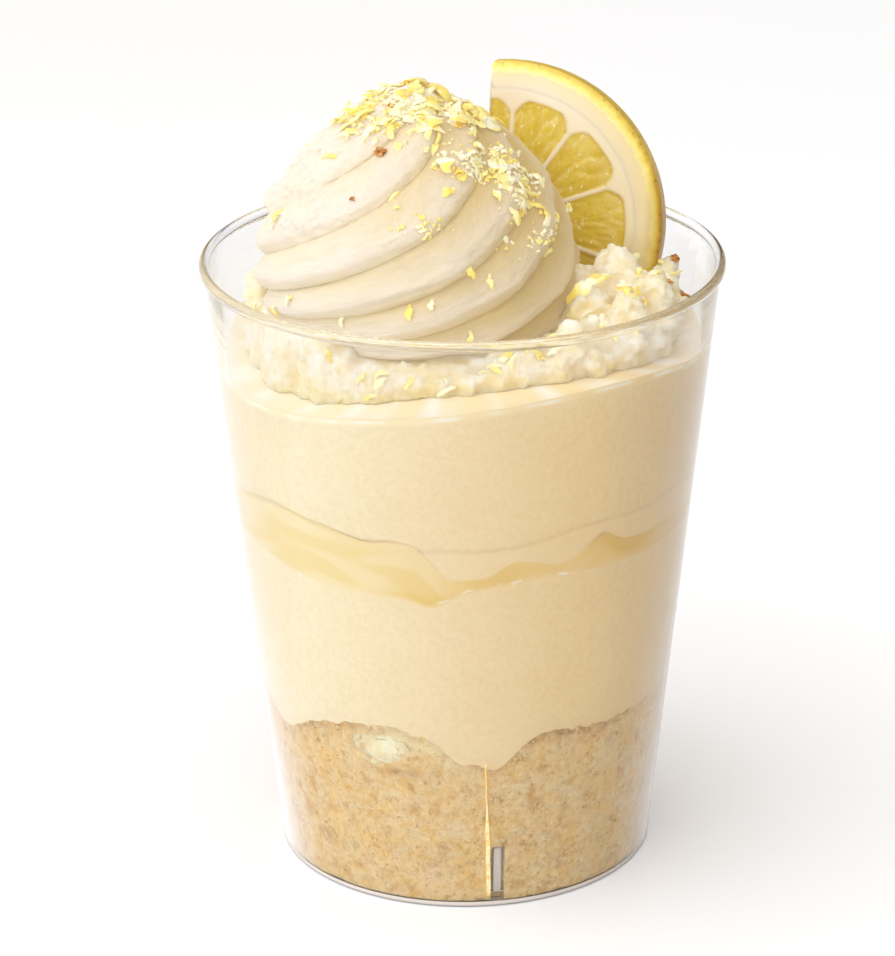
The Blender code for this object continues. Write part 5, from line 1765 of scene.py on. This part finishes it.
def fineOnBed(patterns, dome, bed, draw):
    laid = []
    for count, angles, insets, lengths in zest["fineOnBed"]:
        for index in range(count):
            angle = draw.uniform(*angles)
            x, y = onRing(roughReach(angle) - draw.uniform(*insets), angle)
            length = draw.uniform(*lengths)
            place, normal = fromAbove(bed, x, y)
            above, ignored = fromAbove(dome, x, y)
            if place and not (above and above.z > place.z):
                width = length * draw.uniform(*zest["bedWidth"])
                laid.append(layShred(patterns, place + normal * zest["lift"], normal, draw, length, width,
                                     draw.uniform(*zest["fineThickness"]), zest["bedTilt"]))
    return laid


def shownZest(patterns, dome, bed, before):
    # the single shreds, and the curled strip
    laid = []
    for angle, height, length, width in zest["shown"]:
        place, normal = fromOutside(dome, angle, swirl["floor"] + height)
        if place:
            along = (upwards - normal * normal.z).normalized()
            place = place + normal * zest["shownLift"]
            matrix = framed(place, along, normal.cross(along), normal,
                            (length, width, zest["shownThickness"]))
            laid.append((matrix, (before + len(laid)) % len(patterns), zest["shownBend"]))
    curl = zest["curl"]
    place, normal = fromAbove(bed, *curl["place"])
    run, front = Vector(curl["run"]).normalized(), Vector(curl["front"])
    front = (front - run * front.dot(run)).normalized()
    matrix = framed(place + upwards * curl["rise"], run, front.cross(run), front, curl["size"])
    laid.append((matrix, 0, curl["bend"]))
    return laid


def makeZest():
    shape, draw = random.Random(zest["patternSeed"]), random.Random(zest["fineSeed"])
    patterns = [makeShred(shape) for index in range(zest["patterns"])]
    dome, bed = bpy.data.objects["pipedSwirl"], bpy.data.objects["roughCream"]
    fine = fineOnSwirl(patterns, dome, draw)
    fine += fineOnBed(patterns, dome, bed, draw)
    fine += shownZest(patterns, dome, bed, len(fine))
    piece = bentCopies(patterns, coarseZest(patterns) + fine, "lemonZest")
    dressPiece(piece, "lemonZest", zestMaterial(), "cream_swirl", zest["sharp"])
    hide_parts("rough_cream")


makeZest()


# Toasted crumbs that fell on the cream, as (angle, height, size) or (x, y, size)

toast = {"onSwirl": ((-113.0, 27.4 * mm, 0.8 * mm), (-119.0, 22.2 * mm, 0.35 * mm),
                     (-128.0, 32.3 * mm, 0.5 * mm)),
         "onBed": ((32.6 * mm, 3.0 * mm, 1.3 * mm), (31.6 * mm, 5.0 * mm, 0.8 * mm),
                   (30.2 * mm, -7.0 * mm, 0.5 * mm)),
         "tones": ((0.3, (0.22, 0.07, 0.015)), (0.5, (0.55, 0.22, 0.04)), (0.7, (0.85, 0.52, 0.14))),
         "toneSize": 0.9 * mm, "grain": 0.3 * mm, "form": Vector((1.1, 0.75, 0.6)), "lift": 0.25}


def toastMaterial():
    material, tree, shader = startMaterial("toastedCrumb", 0.5, 0.4)
    place = objectPlace(tree)
    colourIt(tree, shader, addRamp(tree, addNoise(tree, place, toast["toneSize"], 3.0), *toast["tones"]))
    addBump(tree, shader, addNoise(tree, place, toast["grain"], 3.0), 0.6, 0.15 * mm)
    return material


def makeToast():
    dome, bed = bpy.data.objects["pipedSwirl"], bpy.data.objects["roughCream"]
    found = [(*fromOutside(dome, angle, swirl["floor"] + height), size)
             for angle, height, size in toast["onSwirl"]]
    found += [(*fromAbove(bed, x, y), size) for x, y, size in toast["onBed"]]
    bits = []
    for place, normal, size in found:
        if not place:
            continue
        setDown()
        bpy.ops.mesh.primitive_ico_sphere_add(subdivisions=4, radius=size)
        bit = bpy.context.object
        for point in bit.data.vertices:
            rugged = (1.0 + 0.9 * ruggedAt(point.co + place, 0.9 * size)
                      + 0.25 * ruggedAt(point.co, 0.3 * size))
            point.co = point.co * toast["form"] * rugged
        bit.rotation_euler = (normal + upwards * 0.3).to_track_quat("Z", "Y").to_euler()
        bit.location = place + normal * size * toast["lift"]
        bits.append(bit)
    setDown()
    for bit in bits:
        bit.select_set(True)
    bpy.context.view_layer.objects.active = bits[0]
    bpy.ops.object.join()
    settlePiece(bits[0])
    dressPiece(bits[0], "toastedBits", toastMaterial(), "cream_swirl")
    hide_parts("rough_cream")


makeToast()
